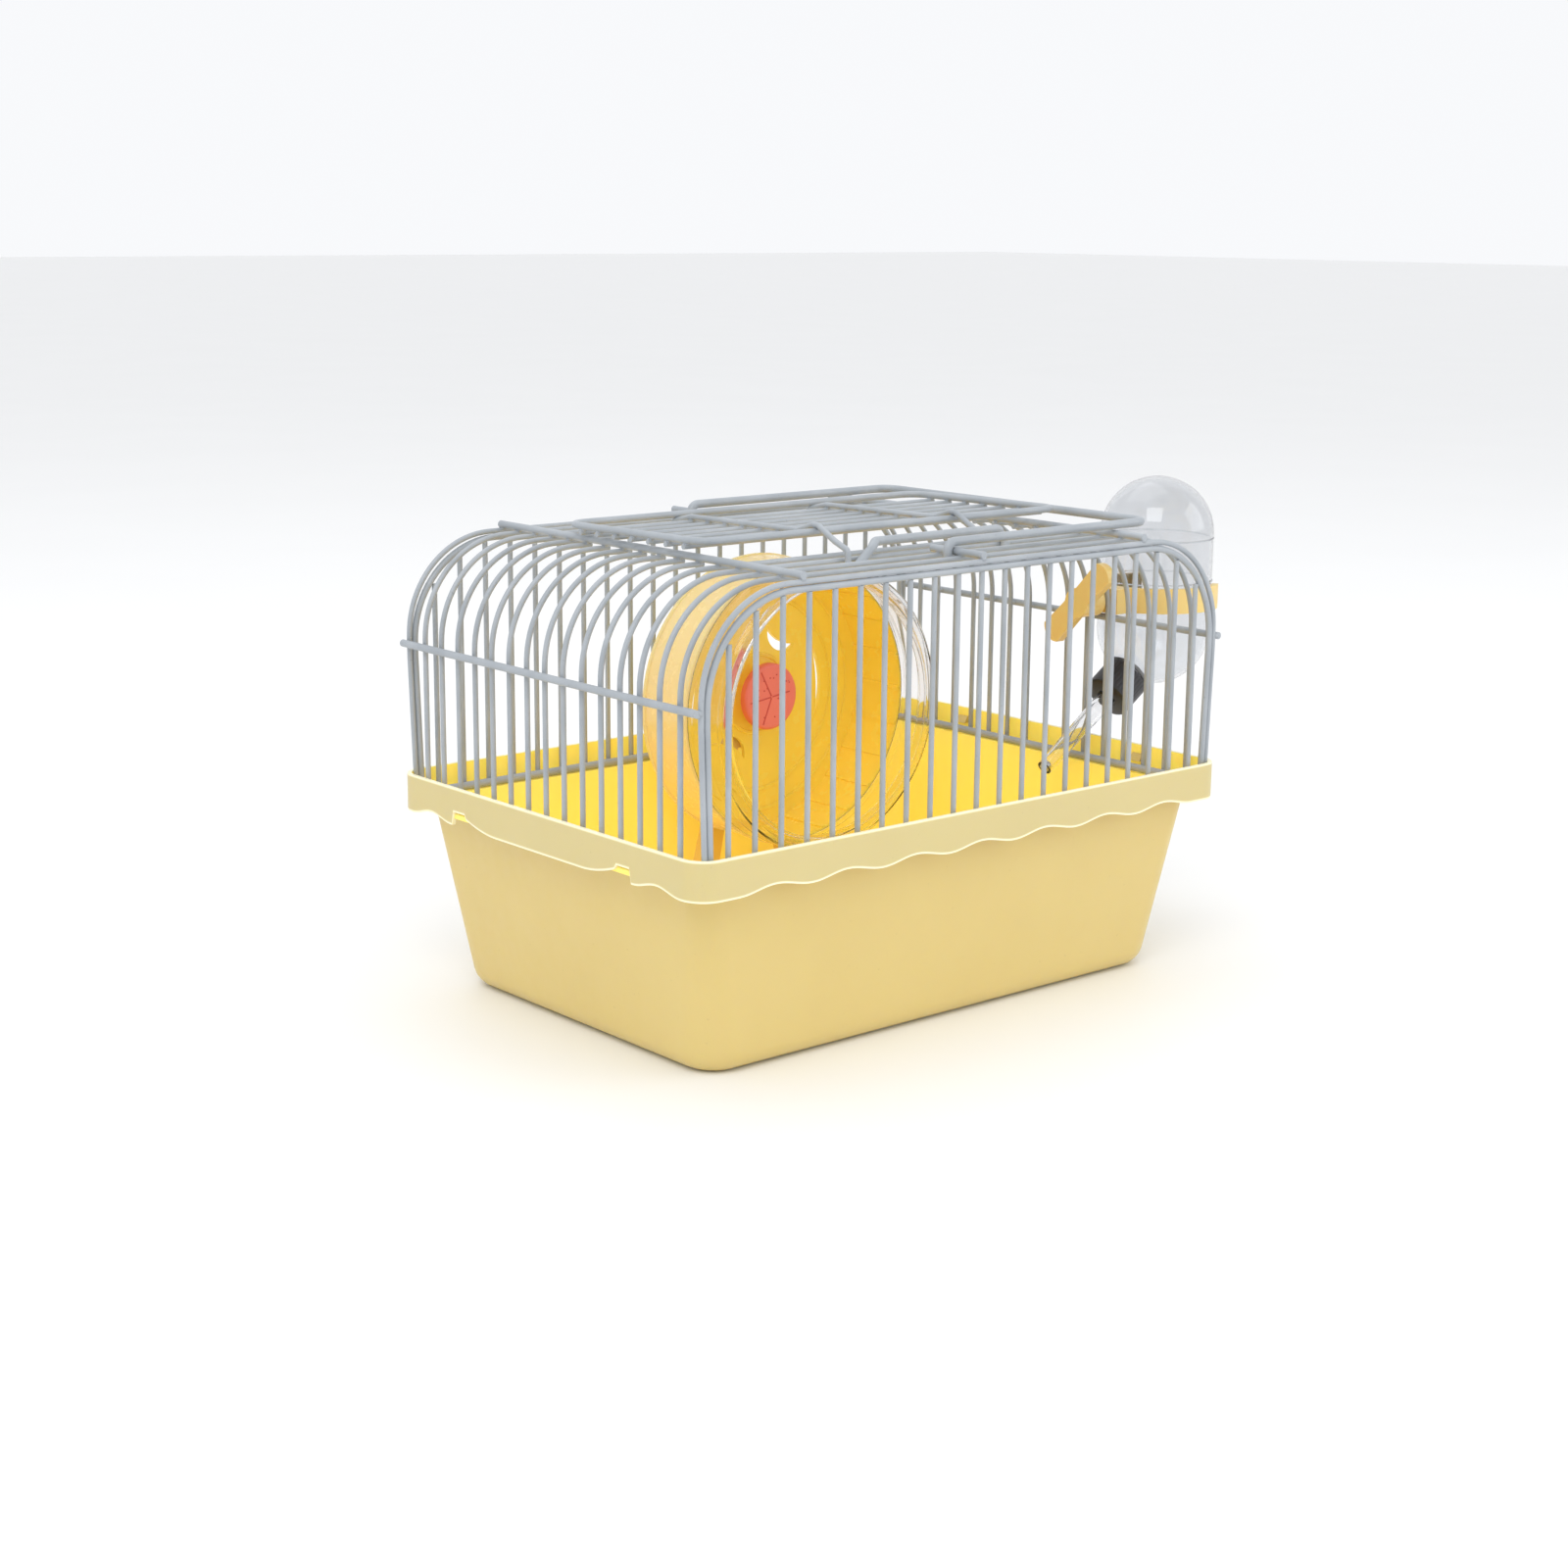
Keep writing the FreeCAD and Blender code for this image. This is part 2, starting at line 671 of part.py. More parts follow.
def make_wheel_cover():
    inner = wheel_radius - wheel_wall
    mouth = disc(wheel_mouth_radius, wheel_front - 1, 3 * wheel_wall)
    shape = disc(wheel_radius, wheel_front, wheel_clear_depth)
    shape = shape.cut(disc(inner, wheel_front + wheel_wall, wheel_clear_depth))
    shape = shape.cut(mouth)
    lip = disc(wheel_mouth_radius + wheel_wall, wheel_front, cover_lap)
    return shape.fuse(lip.cut(disc(wheel_mouth_radius, wheel_front - 1, cover_lap + 2)))


def make_hub_cap():
    cap = disc(hub_cap_radius, hub_face - hub_cap_height, hub_cap_height)
    rim = [e for e in cap.Edges if e.BoundBox.YMax < hub_face - hub_cap_height + 0.01]
    cap = cap.makeFillet(hub_cap_height * 0.45, rim)
    return cap.cut(disc(axle_radius + axle_gap, hub_face - hub_cap_height / 2, wheel_depth))


def make_wheel_bush():
    bush = disc(bush_radius, hub_face, wheel_back - hub_face)
    return bush.cut(disc(axle_radius + axle_gap, hub_face - 1, wheel_depth))


stand_front = wheel_back + stand_gap
axle_back = stand_front + stand_thickness


def make_axle():
    length = axle_back - hub_face + hub_cap_height / 2 - 0.3
    return disc(axle_radius, axle_back - length, length)


def make_wheel_stand():
    half = stand_foot_width / 2
    top = wheel_height
    slant = stand_top_radius
    outline = [
        Vector(wheel_x - half, stand_front, tray_floor),
        Vector(wheel_x + half, stand_front, tray_floor),
        Vector(wheel_x + slant, stand_front, top),
        Vector(wheel_x - slant, stand_front, top),
    ]
    plate = Part.Face(Part.makePolygon(outline + outline[:1])).extrude(Vector(0, stand_thickness, 0))
    plate = plate.fuse(disc(stand_top_radius, stand_front, stand_thickness))
    inset = stand_window_inset
    low = tray_floor + 2.2 * inset
    high = top - stand_top_radius - 2 * inset
    wide = half * (top - low) / (top - tray_floor) - 1.5 * inset
    narrow = slant + (half - slant) * (top - high) / (top - tray_floor) - 1.2 * inset
    gap = [
        Vector(wheel_x - wide, stand_front - 1, low),
        Vector(wheel_x + wide, stand_front - 1, low),
        Vector(wheel_x + narrow, stand_front - 1, high),
        Vector(wheel_x - narrow, stand_front - 1, high),
    ]
    plate = plate.cut(Part.Face(Part.makePolygon(gap + gap[:1])).extrude(Vector(0, stand_thickness + 2, 0)))
    back = stand_front + stand_thickness
    for side in (-1, 1):
        foot = Part.makeBox(2 * inset, stand_foot_depth, stand_foot_height)
        foot.translate(Vector(wheel_x + side * (half - inset) - inset, back - stand_foot_depth, tray_floor))
        plate = plate.fuse(foot)
    bar = Part.makeBox(stand_foot_width - 2 * inset, 1.5 * inset, stand_foot_height)
    bar.translate(Vector(wheel_x - half + inset, back - stand_foot_depth, tray_floor))
    plate = plate.fuse(bar)
    plate = plate.cut(disc(axle_radius, stand_front - 1, stand_thickness + 2))
    return plate.removeSplitter()


export("wheel_dish", make_wheel_dish())
export("wheel_cover", make_wheel_cover())
export("hub_cap", make_hub_cap())
export("wheel_bush", make_wheel_bush())
export("wheel_axle", make_axle())
export("wheel_stand", make_wheel_stand())

# --- water bottle -----------------------------------------------------------
tilt = math.radians(neck_tilt)
spout_way = Vector(-math.cos(tilt), 0, -math.sin(tilt))
cap_middle = Vector(cap_x, bottle_y, cap_z)
cap_mouth = cap_middle - spout_way * (cap_length / 2)     # open end, towards the bottle
cap_front = cap_middle + spout_way * (cap_length / 2)     # closed end, with the spout
spout_tip = cap_front + spout_way * spout_length
ball_middle = spout_tip - spout_way * ball_depth
crown = Vector(bottle_x, bottle_y, bottle_top - bottle_radius)
keel = Vector(bottle_x, bottle_y, bottle_bottom + bottle_radius)


def capsule(radius):
    body = Part.makeCylinder(radius, crown.z - keel.z, keel, Vector(0, 0, 1))
    body = body.fuse(Part.makeSphere(radius, crown))
    return body.fuse(Part.makeSphere(radius, keel))


def make_bottle():
    neck_end = cap_front - spout_way * (cap_wall + seal_thickness)
    neck_length = neck_end.distanceToPoint(keel)
    neck = Part.makeCylinder(neck_radius, neck_length, neck_end, spout_way * -1)
    bore = Part.makeCylinder(neck_bore, neck_length, neck_end + spout_way, spout_way * -1)
    inside = capsule(bottle_radius - bottle_wall)
    outside = capsule(bottle_radius).fuse(neck)
    return outside.cut(inside).cut(bore).removeSplitter()


def make_cap():
    cap = Part.makeCylinder(cap_radius, cap_length, cap_mouth, spout_way)
    cap = cap.cut(Part.makeCylinder(neck_radius + stem_gap, cap_length - cap_wall, cap_mouth, spout_way))
    cap = cap.cut(Part.makeCylinder(spout_root_radius, 2 * cap_length, cap_mouth, spout_way))
    groove = Part.makeCylinder(cap_rib, cap_length - 2 * cap_wall,
                               cap_mouth + Vector(0, cap_radius, 0) - spout_way, spout_way)
    for number in range(cap_rib_count):
        cap = cap.cut(groove.rotated(cap_mouth, spout_way, 360.0 * number / cap_rib_count))
    return cap


def make_seal():
    start = cap_front - spout_way * (cap_wall + seal_thickness)
    seal = Part.makeCylinder(neck_radius, seal_thickness, start, spout_way)
    return seal.cut(Part.makeCylinder(spout_root_radius, seal_thickness * 3, start - spout_way, spout_way))


def make_spout():
    root = cap_front - spout_way * (cap_wall + seal_thickness)
    shank = Part.makeCylinder(spout_root_radius, cap_wall + seal_thickness, root, spout_way)
    taper = Part.makeCone(spout_root_radius, spout_tip_radius, spout_length, cap_front, spout_way)
    shape = shank.fuse(taper)
    seat = ball_middle.distanceToPoint(root)
    shape = shape.cut(Part.makeCylinder(ball_radius + ball_gap, seat + 1, root - spout_way, spout_way))
    return shape.cut(Part.makeSphere(ball_radius + ball_gap, ball_middle))


def make_ball():
    return Part.makeSphere(ball_radius, ball_middle)


export("bottle_body", make_bottle())
export("bottle_cap", make_cap())
export("cap_seal", make_seal())
export("spout_tube", make_spout())
export("spout_ball", make_ball())


# --- bottle holder ----------------------------------------------------------
wires_outside = end_x + thin_wire / 2 + wire_gap
wires_inside = end_x - thin_wire / 2 - wire_gap
holder_z = mid_wire_height + cross_wire / 2 + holder_lift
holder_middle = holder_z + holder_height / 2
wing_back = wires_inside - wing_standoff


def make_holder():
    inner = bottle_radius + holder_gap
    outer = inner + holder_thickness
    base = Vector(bottle_x, bottle_y, holder_z)
    band = Part.makeCylinder(outer, holder_height, base).cut(Part.makeCylinder(inner, holder_height, base))
    half = math.radians(holder_half_opening)
    far = 3 * outer
    wedge = Part.makePolygon([
        base,
        base + Vector(far * math.cos(half), -far * math.sin(half), 0),
        base + Vector(far * math.cos(half), far * math.sin(half), 0),
        base,
    ])
    band = band.cut(Part.Face(wedge).extrude(Vector(0, 0, holder_height)))
    for side in (-1, 1):
        lip = Part.makeBox(holder_lip, holder_thickness, holder_height)
        lip.translate(Vector(-holder_thickness * 0.3, 0, 0))
        turn = 90 - holder_half_opening
        lip.translate(Vector(0, inner, 0))
        lip.rotate(Vector(0, 0, 0), Vector(0, 0, 1), -turn + 12)
        if side < 0:
            lip = lip.mirror(Vector(0, 0, 0), Vector(0, 1, 0))
        lip.translate(base)
        band = band.fuse(lip)
    arm_end = bottle_x - inner
    arm = Part.makeBox(arm_end - wires_outside, holder_arm_width, holder_height)
    arm.translate(Vector(wires_outside, bottle_y - holder_arm_width / 2, holder_z))
    arm = arm.cut(Part.makeCylinder(inner + 0.01, holder_height, base))
    shape = band.fuse(arm)
    stem_hole = Part.makeCylinder(stem_radius + stem_gap, arm_end - wires_outside,
                                  Vector(wires_outside - 1, bottle_y, holder_middle), Vector(1, 0, 0))
    return shape.cut(stem_hole).removeSplitter()


def make_stem():
    start = wing_back - wing_thickness
    length = bottle_x - bottle_radius - holder_gap - 3.0 - start
    return Part.makeCylinder(stem_radius, length, Vector(start, bottle_y, holder_middle), Vector(1, 0, 0))


def make_wing():
    half = wing_length / 2
    end = wing_end_width / 2
    waist = wing_waist / 2
    outline = [
        Vector(0, half, end * 0.7),
        Vector(0, 0, waist),
        Vector(0, -half, end * 0.7),
    ]
    low_rear = Vector(0, half, -end * 0.7)
    low_front = Vector(0, -half, -end * 0.7)
    rear_end = Part.Arc(outline[0], Vector(0, half + 2.2, 0), low_rear)
    front_end = Part.Arc(low_front, Vector(0, -half - 2.2, 0), outline[2])
    top = Part.Arc(outline[2], outline[1], outline[0])
    bottom = Part.Arc(low_rear, Vector(0, 0, -waist), low_front)
    face = Part.Face(Part.Wire([c.toShape() for c in (top, rear_end, bottom, front_end)]))
    wing = face.extrude(Vector(wing_thickness, 0, 0))
    boss_length = wing_thickness + wing_standoff - wing_boss_gap
    wing = wing.fuse(Part.makeCylinder(waist + 1.4, boss_length, Vector(0, 0, 0), Vector(1, 0, 0)))
    wing = wing.cut(Part.makeCylinder(stem_radius, 3 * boss_length, Vector(-boss_length, 0, 0),
                                      Vector(1, 0, 0)))
    wing.rotate(Vector(0, 0, 0), Vector(1, 0, 0), -wing_angle)
    wing.translate(Vector(wing_back - wing_thickness, bottle_y, holder_middle))
    return wing


export("bottle_holder", make_holder())
export("clamp_stem", make_stem())
export("clamp_wing", make_wing())
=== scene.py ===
import json
import math
import random

import bmesh
import bpy
from mathutils import Matrix, Vector


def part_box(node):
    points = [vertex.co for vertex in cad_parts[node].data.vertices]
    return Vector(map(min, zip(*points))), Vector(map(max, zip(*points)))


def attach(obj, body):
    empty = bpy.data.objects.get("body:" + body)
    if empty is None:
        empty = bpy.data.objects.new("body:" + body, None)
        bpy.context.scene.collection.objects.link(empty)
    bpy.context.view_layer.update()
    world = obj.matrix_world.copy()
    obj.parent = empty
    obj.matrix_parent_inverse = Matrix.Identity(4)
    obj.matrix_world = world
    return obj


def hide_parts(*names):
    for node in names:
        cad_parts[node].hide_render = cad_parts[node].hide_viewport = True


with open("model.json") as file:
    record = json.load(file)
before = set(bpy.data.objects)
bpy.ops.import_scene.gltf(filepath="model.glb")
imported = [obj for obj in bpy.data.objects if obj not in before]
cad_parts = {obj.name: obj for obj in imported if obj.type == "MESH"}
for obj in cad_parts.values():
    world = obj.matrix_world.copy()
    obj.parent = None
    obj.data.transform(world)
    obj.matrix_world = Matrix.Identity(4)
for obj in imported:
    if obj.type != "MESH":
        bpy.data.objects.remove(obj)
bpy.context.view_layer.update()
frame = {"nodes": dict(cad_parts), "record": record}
MM = 0.001
draw = random.Random(23)


def corners(node):
    low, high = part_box(node)
    return Vector(low), Vector(high)


def middle(node):
    low, high = corners(node)
    return (low + high) / 2


dish_low, dish_high = corners("wheel_dish")
cover_low, cover_high = corners("wheel_cover")
axis_x = (dish_low.x + dish_high.x) / 2
axis_z = (dish_low.z + dish_high.z) / 2
wheel_radius = (dish_high.x - dish_low.x) / 2


# --- Node building ----------------------------------------------------------
class Board:
    """A node tree with short calls for adding and joining nodes."""

    def __init__(self, tree):
        self.tree = tree

    def add(self, kind, settings=None, **inputs):
        node = self.tree.nodes.new(kind)
        for key, value in (settings or {}).items():
            setattr(node, key, value)
        for key, value in inputs.items():
            self.join(value, node.inputs[key.replace("_", " ")])
        return node

    def join(self, value, socket):
        if isinstance(value, bpy.types.NodeSocket):
            self.tree.links.new(value, socket)
        else:
            socket.default_value = value

    def maths(self, operation, first, second=0.0, clamp=False):
        node = self.tree.nodes.new("ShaderNodeMath")
        node.operation = operation
        node.use_clamp = clamp
        self.join(first, node.inputs[0])
        self.join(second, node.inputs[1])
        return node.outputs[0]

    def blend(self, amount, first, second, mode="MIX"):
        node = self.tree.nodes.new("ShaderNodeMix")
        node.data_type = "RGBA"
        node.blend_type = mode
        self.join(amount, node.inputs["Factor"])
        self.join(first, node.inputs["A"])
        self.join(second, node.inputs["B"])
        return node.outputs["Result"]

    def noise(self, place, scale, detail=2.0):
        node = self.add("ShaderNodeTexNoise", Scale=scale, Detail=detail)
        self.join(place, node.inputs["Vector"])
        return node.outputs["Fac"]

    def spread(self, value, low, high, to_low=0.0, to_high=1.0):
        node = self.add("ShaderNodeMapRange")
        for socket, amount in zip(node.inputs, (value, low, high, to_low, to_high)):
            self.join(amount, socket)
        return node.outputs["Result"]


def start_group(name, inputs, outputs):
    group = bpy.data.node_groups.new(name, "ShaderNodeTree")
    for label, kind, value in inputs:
        socket = group.interface.new_socket(label, in_out="INPUT", socket_type=kind)
        socket.default_value = value
    for label, kind in outputs:
        group.interface.new_socket(label, in_out="OUTPUT", socket_type=kind)
    board = Board(group)
    return board, board.add("NodeGroupInput").outputs, board.add("NodeGroupOutput").inputs


def build_moulded_skin():
    """Fine moulded grain, faint flow clouds and a few dust specks."""
    board, given, out = start_group("moulded_skin", [
        ("Colour", "NodeSocketColor", (0.8, 0.8, 0.8, 1)),
        ("Flow", "NodeSocketFloat", 0.1),
        ("Roughness", "NodeSocketFloat", 0.4),
        ("Specks", "NodeSocketFloat", 0.2),
        ("Grain", "NodeSocketFloat", 1.0),
    ], [("Colour", "NodeSocketColor"), ("Roughness", "NodeSocketFloat"), ("Height", "NodeSocketFloat")])
    place = board.add("ShaderNodeTexCoord").outputs["Object"]
    clouds = board.noise(place, 28.0, 4.0)
    grain = board.noise(place, 2400.0, 3.0)
    rub = board.noise(place, 210.0, 5.0)
    deeper = board.blend(1.0, given["Colour"], (0.80, 0.74, 0.62, 1), "MULTIPLY")
    amount = board.maths("MULTIPLY", board.spread(clouds, 0.36, 0.68), given["Flow"])
    colour = board.blend(amount, given["Colour"], deeper)
    specks = board.spread(board.noise(place, 640.0, 1.0), 0.765, 0.80)
    specks = board.maths("MULTIPLY", specks, given["Specks"])
    board.join(board.blend(specks, colour, (0.17, 0.12, 0.06, 1)), out["Colour"])
    wander = board.spread(rub, 0.3, 0.75, -0.07, 0.09)
    board.join(board.maths("ADD", given["Roughness"], wander), out["Roughness"])
    board.join(board.maths("MULTIPLY", grain, given["Grain"]), out["Height"])
    return board.tree


def build_handling_marks():
    """Fine crossed scratches from handling, as a mask and a roughness."""
    board, given, out = start_group("handling_marks", [
        ("Amount", "NodeSocketFloat", 0.3),
        ("Roughness", "NodeSocketFloat", 0.1),
    ], [("Roughness", "NodeSocketFloat"), ("Marks", "NodeSocketFloat")])
    place = board.add("ShaderNodeTexCoord").outputs["Object"]
    marks = None
    for turn, stretch in ((0.5, 14.0), (-0.9, 11.0)):
        mapping = board.add("ShaderNodeMapping", Vector=place)
        mapping.inputs["Rotation"].default_value = (0.4, turn, turn)
        mapping.inputs["Scale"].default_value = (1.0, stretch, stretch)
        lines = board.spread(board.noise(mapping.outputs["Vector"], 95.0, 3.0), 0.60, 0.74)
        marks = lines if marks is None else board.maths("MAXIMUM", marks, lines)
    marks = board.maths("MULTIPLY", marks, given["Amount"])
    board.join(marks, out["Marks"])
    scratched = board.maths("ADD", board.maths("MULTIPLY", marks, 0.35), given["Roughness"])
    board.join(scratched, out["Roughness"])
    return board.tree


moulded_skin = build_moulded_skin()
handling_marks = build_handling_marks()


def start_material(name, **uniform):
    material = bpy.data.materials.new(name)
    material.use_nodes = True
    board = Board(material.node_tree)
    shader = material.node_tree.nodes["Principled BSDF"]
    for key, value in uniform.items():
        shader.inputs[key.replace("_", " ")].default_value = value
    return material, board, shader


def moulded_plastic(name, colour, roughness, flow=0.12, specks=0.15, grain=1.0, bump=0.12,
                    edge=None, outer=None, painted_glow=0.0, **uniform):
    """Moulded plastic.  edge is the colour of a painted highlight laid on the edge rows that a vertex
    attribute marks, outer that of the wheel's outside, and the glow strength paints light: emission that
    stands for the daylight coming through a wall."""
    material, board, shader = start_material(name, Emission_Strength=painted_glow, **uniform)
    skin = board.add("ShaderNodeGroup", {"node_tree": moulded_skin}, Colour=(*colour, 1), Flow=flow,
                     Roughness=roughness, Specks=specks, Grain=grain)
    relief = board.add("ShaderNodeBump", Height=skin.outputs["Height"], Strength=bump, Distance=0.0002)
    tone = skin.outputs["Colour"]
    # Painted highlight: where the edge attribute is marked, the tone blends to the pale edge colour,
    # standing for light along thin edges.
    if edge:
        edge_highlight_mask = board.add("ShaderNodeAttribute", {"attribute_name": "painted_edge_highlight"}).outputs["Fac"]
        tone = board.blend(board.spread(edge_highlight_mask, 0.10, 0.55), tone, (*edge, 1))
    if outer:
        place = board.add("ShaderNodeTexCoord").outputs["Object"]
        apart = board.add("ShaderNodeSeparateXYZ", Vector=place)
        across = board.maths("SUBTRACT", apart.outputs["X"], axis_x)
        upward = board.maths("SUBTRACT", apart.outputs["Z"], axis_z)
        reach = board.maths("POWER", board.maths("ADD", board.maths("MULTIPLY", across, across),
                                                 board.maths("MULTIPLY", upward, upward)), 0.5)
        skin_share = board.spread(reach, wheel_radius - 1.1 * MM, wheel_radius - 0.4 * MM)
        tone = board.blend(skin_share, tone, (*outer, 1))
    board.join(tone, shader.inputs["Base Color"])
    # Painted glow: the tone is also emitted, standing for daylight through the translucent wall, though
    # the plastic is no lamp.
    if painted_glow:
        board.join(tone, shader.inputs["Emission Color"])
    board.join(skin.outputs["Roughness"], shader.inputs["Roughness"])
    board.join(relief.outputs["Normal"], shader.inputs["Normal"])
    return material


def clear_plastic(name, colour, roughness, marks, **uniform):
    material, board, shader = start_material(name, Transmission_Weight=1.0, **uniform)
    wear = board.add("ShaderNodeGroup", {"node_tree": handling_marks}, Amount=marks, Roughness=roughness)
    tone = board.blend(wear.outputs["Marks"], (*colour, 1), (0.86, 0.87, 0.88, 1))
    board.join(tone, shader.inputs["Base Color"])
    board.join(wear.outputs["Roughness"], shader.inputs["Roughness"])
    return material


def powder_coat(name):
    """Light grey-blue coat on steel wire: orange peel, faint clouds and grime."""
    material, board, shader = start_material(name, Coat_Weight=0.15, Coat_Roughness=0.25)
    place = board.add("ShaderNodeTexCoord").outputs["Object"]
    clouds = board.spread(board.noise(place, 60.0, 4.0), 0.3, 0.7)
    colour = board.blend(clouds, (0.315, 0.345, 0.375, 1), (0.40, 0.43, 0.46, 1))
    specks = board.spread(board.noise(place, 900.0, 1.0), 0.74, 0.78)
    colour = board.blend(board.maths("MULTIPLY", specks, 0.5), colour, (0.24, 0.26, 0.28, 1))
    peel = board.noise(place, 1500.0, 2.0)
    relief = board.add("ShaderNodeBump", Height=peel, Strength=0.35, Distance=0.0002)
    board.join(colour, shader.inputs["Base Color"])
    board.join(board.spread(peel, 0.3, 0.7, 0.34, 0.48), shader.inputs["Roughness"])
    board.join(relief.outputs["Normal"], shader.inputs["Normal"])
    return material


def brushed_steel(name):
    material, board, shader = start_material(name, Metallic=1.0)
    place = board.add("ShaderNodeTexCoord").outputs["Object"]
    stretched = board.add("ShaderNodeMapping", Vector=place)
    stretched.inputs["Scale"].default_value = (1.0, 0.06, 1.0)
    lines = board.noise(stretched.outputs["Vector"], 3000.0, 2.0)
    tone = board.blend(lines, (0.50, 0.50, 0.51, 1), (0.68, 0.68, 0.69, 1))
    board.join(tone, shader.inputs["Base Color"])
    board.join(board.spread(lines, 0.3, 0.7, 0.22, 0.36), shader.inputs["Roughness"])
    return material


AMBER_LIGHT = (1.0, 0.70, 0.14)
TRAY_OUTSIDE = moulded_plastic(
    "tray_outside", (0.70, 0.55, 0.205), 0.40, flow=0.10, specks=0.10,
    Subsurface_Weight=0.20, Subsurface_Scale=0.003, Subsurface_Radius=AMBER_LIGHT)
# Brighter, more saturated copy of the tray plastic with a painted glow: painted light for the lit inside
# of the translucent tray.
TRAY_INSIDE_PAINTED_GLOW = moulded_plastic(
    "tray_inside_painted_glow", (0.99, 0.77, 0.16), 0.36, flow=0.04, specks=0.06, painted_glow=0.20,
    Subsurface_Weight=0.40, Subsurface_Scale=0.005, Subsurface_Radius=AMBER_LIGHT)
# Paler, greener copy of the tray plastic: painted light for daylight through the thin skirt, plus a
# painted highlight on its marked edges.
TRAY_SKIRT_PAINTED_LIGHT = moulded_plastic(
    "tray_skirt", (0.655, 0.55, 0.255), 0.38, flow=0.10, specks=0.10, edge=(1.0, 0.93, 0.64),
    Subsurface_Weight=0.20, Subsurface_Scale=0.003, Subsurface_Radius=AMBER_LIGHT)
# Darker red for the engraved marks on the hub cap: painted shade standing for the shade inside the
# grooves.
CORAL_GROOVE_SHADE = moulded_plastic("coral_groove_painted_shade", (0.66, 0.09, 0.09), 0.5)
BOTTLE_CLEAR = clear_plastic("bottle_clear", (0.84, 0.85, 0.865), 0.07, 0.25, IOR=1.46)
MATERIALS = {
    "coated_wire": powder_coat("powder_coat"),
    "tray_plastic": TRAY_OUTSIDE,
    "yellow_plastic": moulded_plastic(
        "yellow_plastic", (0.84, 0.61, 0.21), 0.36, specks=0.06, Subsurface_Weight=0.15,
        Subsurface_Scale=0.003),
    # Painted glow: this plastic's emission stands for daylight through the translucent wheel.
    "wheel_yellow": moulded_plastic(
        "wheel_plastic", (0.98, 0.71, 0.10), 0.24, flow=0.10, specks=0.03, bump=0.05,
        outer=(0.86, 0.66, 0.30), painted_glow=0.10, Subsurface_Weight=0.40, Subsurface_Scale=0.005,
        Subsurface_Radius=AMBER_LIGHT),
    "clear_plastic": clear_plastic("clear_plastic", (0.93, 0.93, 0.935), 0.035, 0.10, IOR=1.42),
    "coral_plastic": moulded_plastic("coral_plastic", (0.93, 0.23, 0.21), 0.45, specks=0.5),
    "white_plastic": moulded_plastic("white_plastic", (0.78, 0.77, 0.74), 0.4),
    "black_plastic": moulded_plastic("black_plastic", (0.022, 0.022, 0.025), 0.38, flow=0.3, bump=0.3),
    "grey_rubber": moulded_plastic("grey_rubber", (0.22, 0.225, 0.24), 0.62, flow=0.25, bump=0.4),
    "steel": brushed_steel("brushed_steel"),
}

for part in frame["record"]["subparts"]:
    cad_node = frame["nodes"][part["node"]]
    for socket in cad_node.material_slots:
        socket.material = MATERIALS[part["material_slot"]]
for socket in frame["nodes"]["bottle_body"].material_slots:
    socket.material = BOTTLE_CLEAR


# --- Piece building ---------------------------------------------------------
def turn_outwards(bm):
    bmesh.ops.remove_doubles(bm, verts=bm.verts, dist=1e-6)
    bmesh.ops.recalc_face_normals(bm, faces=bm.faces)


def keep_piece(bm, name, body, slot, crease=40.0):
    """The finished bmesh as an object that rides on a body."""
    mesh = bpy.data.meshes.new(name)
    bm.to_mesh(mesh)
    bm.free()
    piece = bpy.data.objects.new(name, mesh)
    bpy.context.collection.objects.link(piece)
    mesh.materials.append(MATERIALS[slot])
    for face in mesh.polygons:
        face.use_smooth = True
    mesh.set_sharp_from_angle(angle=math.radians(crease))
    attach(piece, body)
    return piece


def round_edges(piece, width, segments=3, angle=40.0):
    finish = piece.modifiers.new("rounded_edges", "BEVEL")
    finish.width = width
    finish.segments = segments
    finish.limit_method = "ANGLE"
    finish.angle_limit = math.radians(angle)
    finish.harden_normals = True


def thicken(piece, thickness, even=True):
    """Gives a shell its wall, away from the side that its faces show."""
    wall = piece.modifiers.new("wall", "SOLIDIFY")
    wall.thickness = thickness
    wall.offset = -1
    wall.use_even_offset = even
    return wall


# --- Tray -------------------------------------------------------------------
TRAY_WALL = 1.6 * MM
RIM_RADIUS = 8.5 * MM
SKIRT_DEPTH = 12.8 * MM
LEDGE_DEPTH = 9.0 * MM
FLOOR_RADIUS = 6.4 * MM       # bend between the floor and the walls
FOOT_HALF_LENGTH = 103.6 * MM
FOOT_HALF_WIDTH = 68.8 * MM
FOOT_CORNER = 12.4 * MM
BODY_INSET = 6.5 * MM         # body's outside, in from the skirt's
LEDGE_CORNER = 6.9 * MM
NOTCH = 45.0 * MM
tray_low, tray_high = corners("tray")
tray_half = (tray_high - tray_low) / 2
ledge_top = tray_high.z - LEDGE_DEPTH


def outline(bm, half_x, half_y, radius, z, segments=10):
    """Rounded rectangle as one level face."""
    made = bmesh.ops.create_grid(bm, x_segments=1, y_segments=1, size=1.0)["verts"]
    bmesh.ops.scale(bm, vec=(half_x, half_y, 1), verts=made)
    bmesh.ops.translate(bm, vec=(0, 0, z), verts=made)
    bmesh.ops.bevel(bm, geom=made, offset=radius, affect="VERTICES", segments=segments,
                    profile=0.5, material=-1)
    return list(bm.edges)


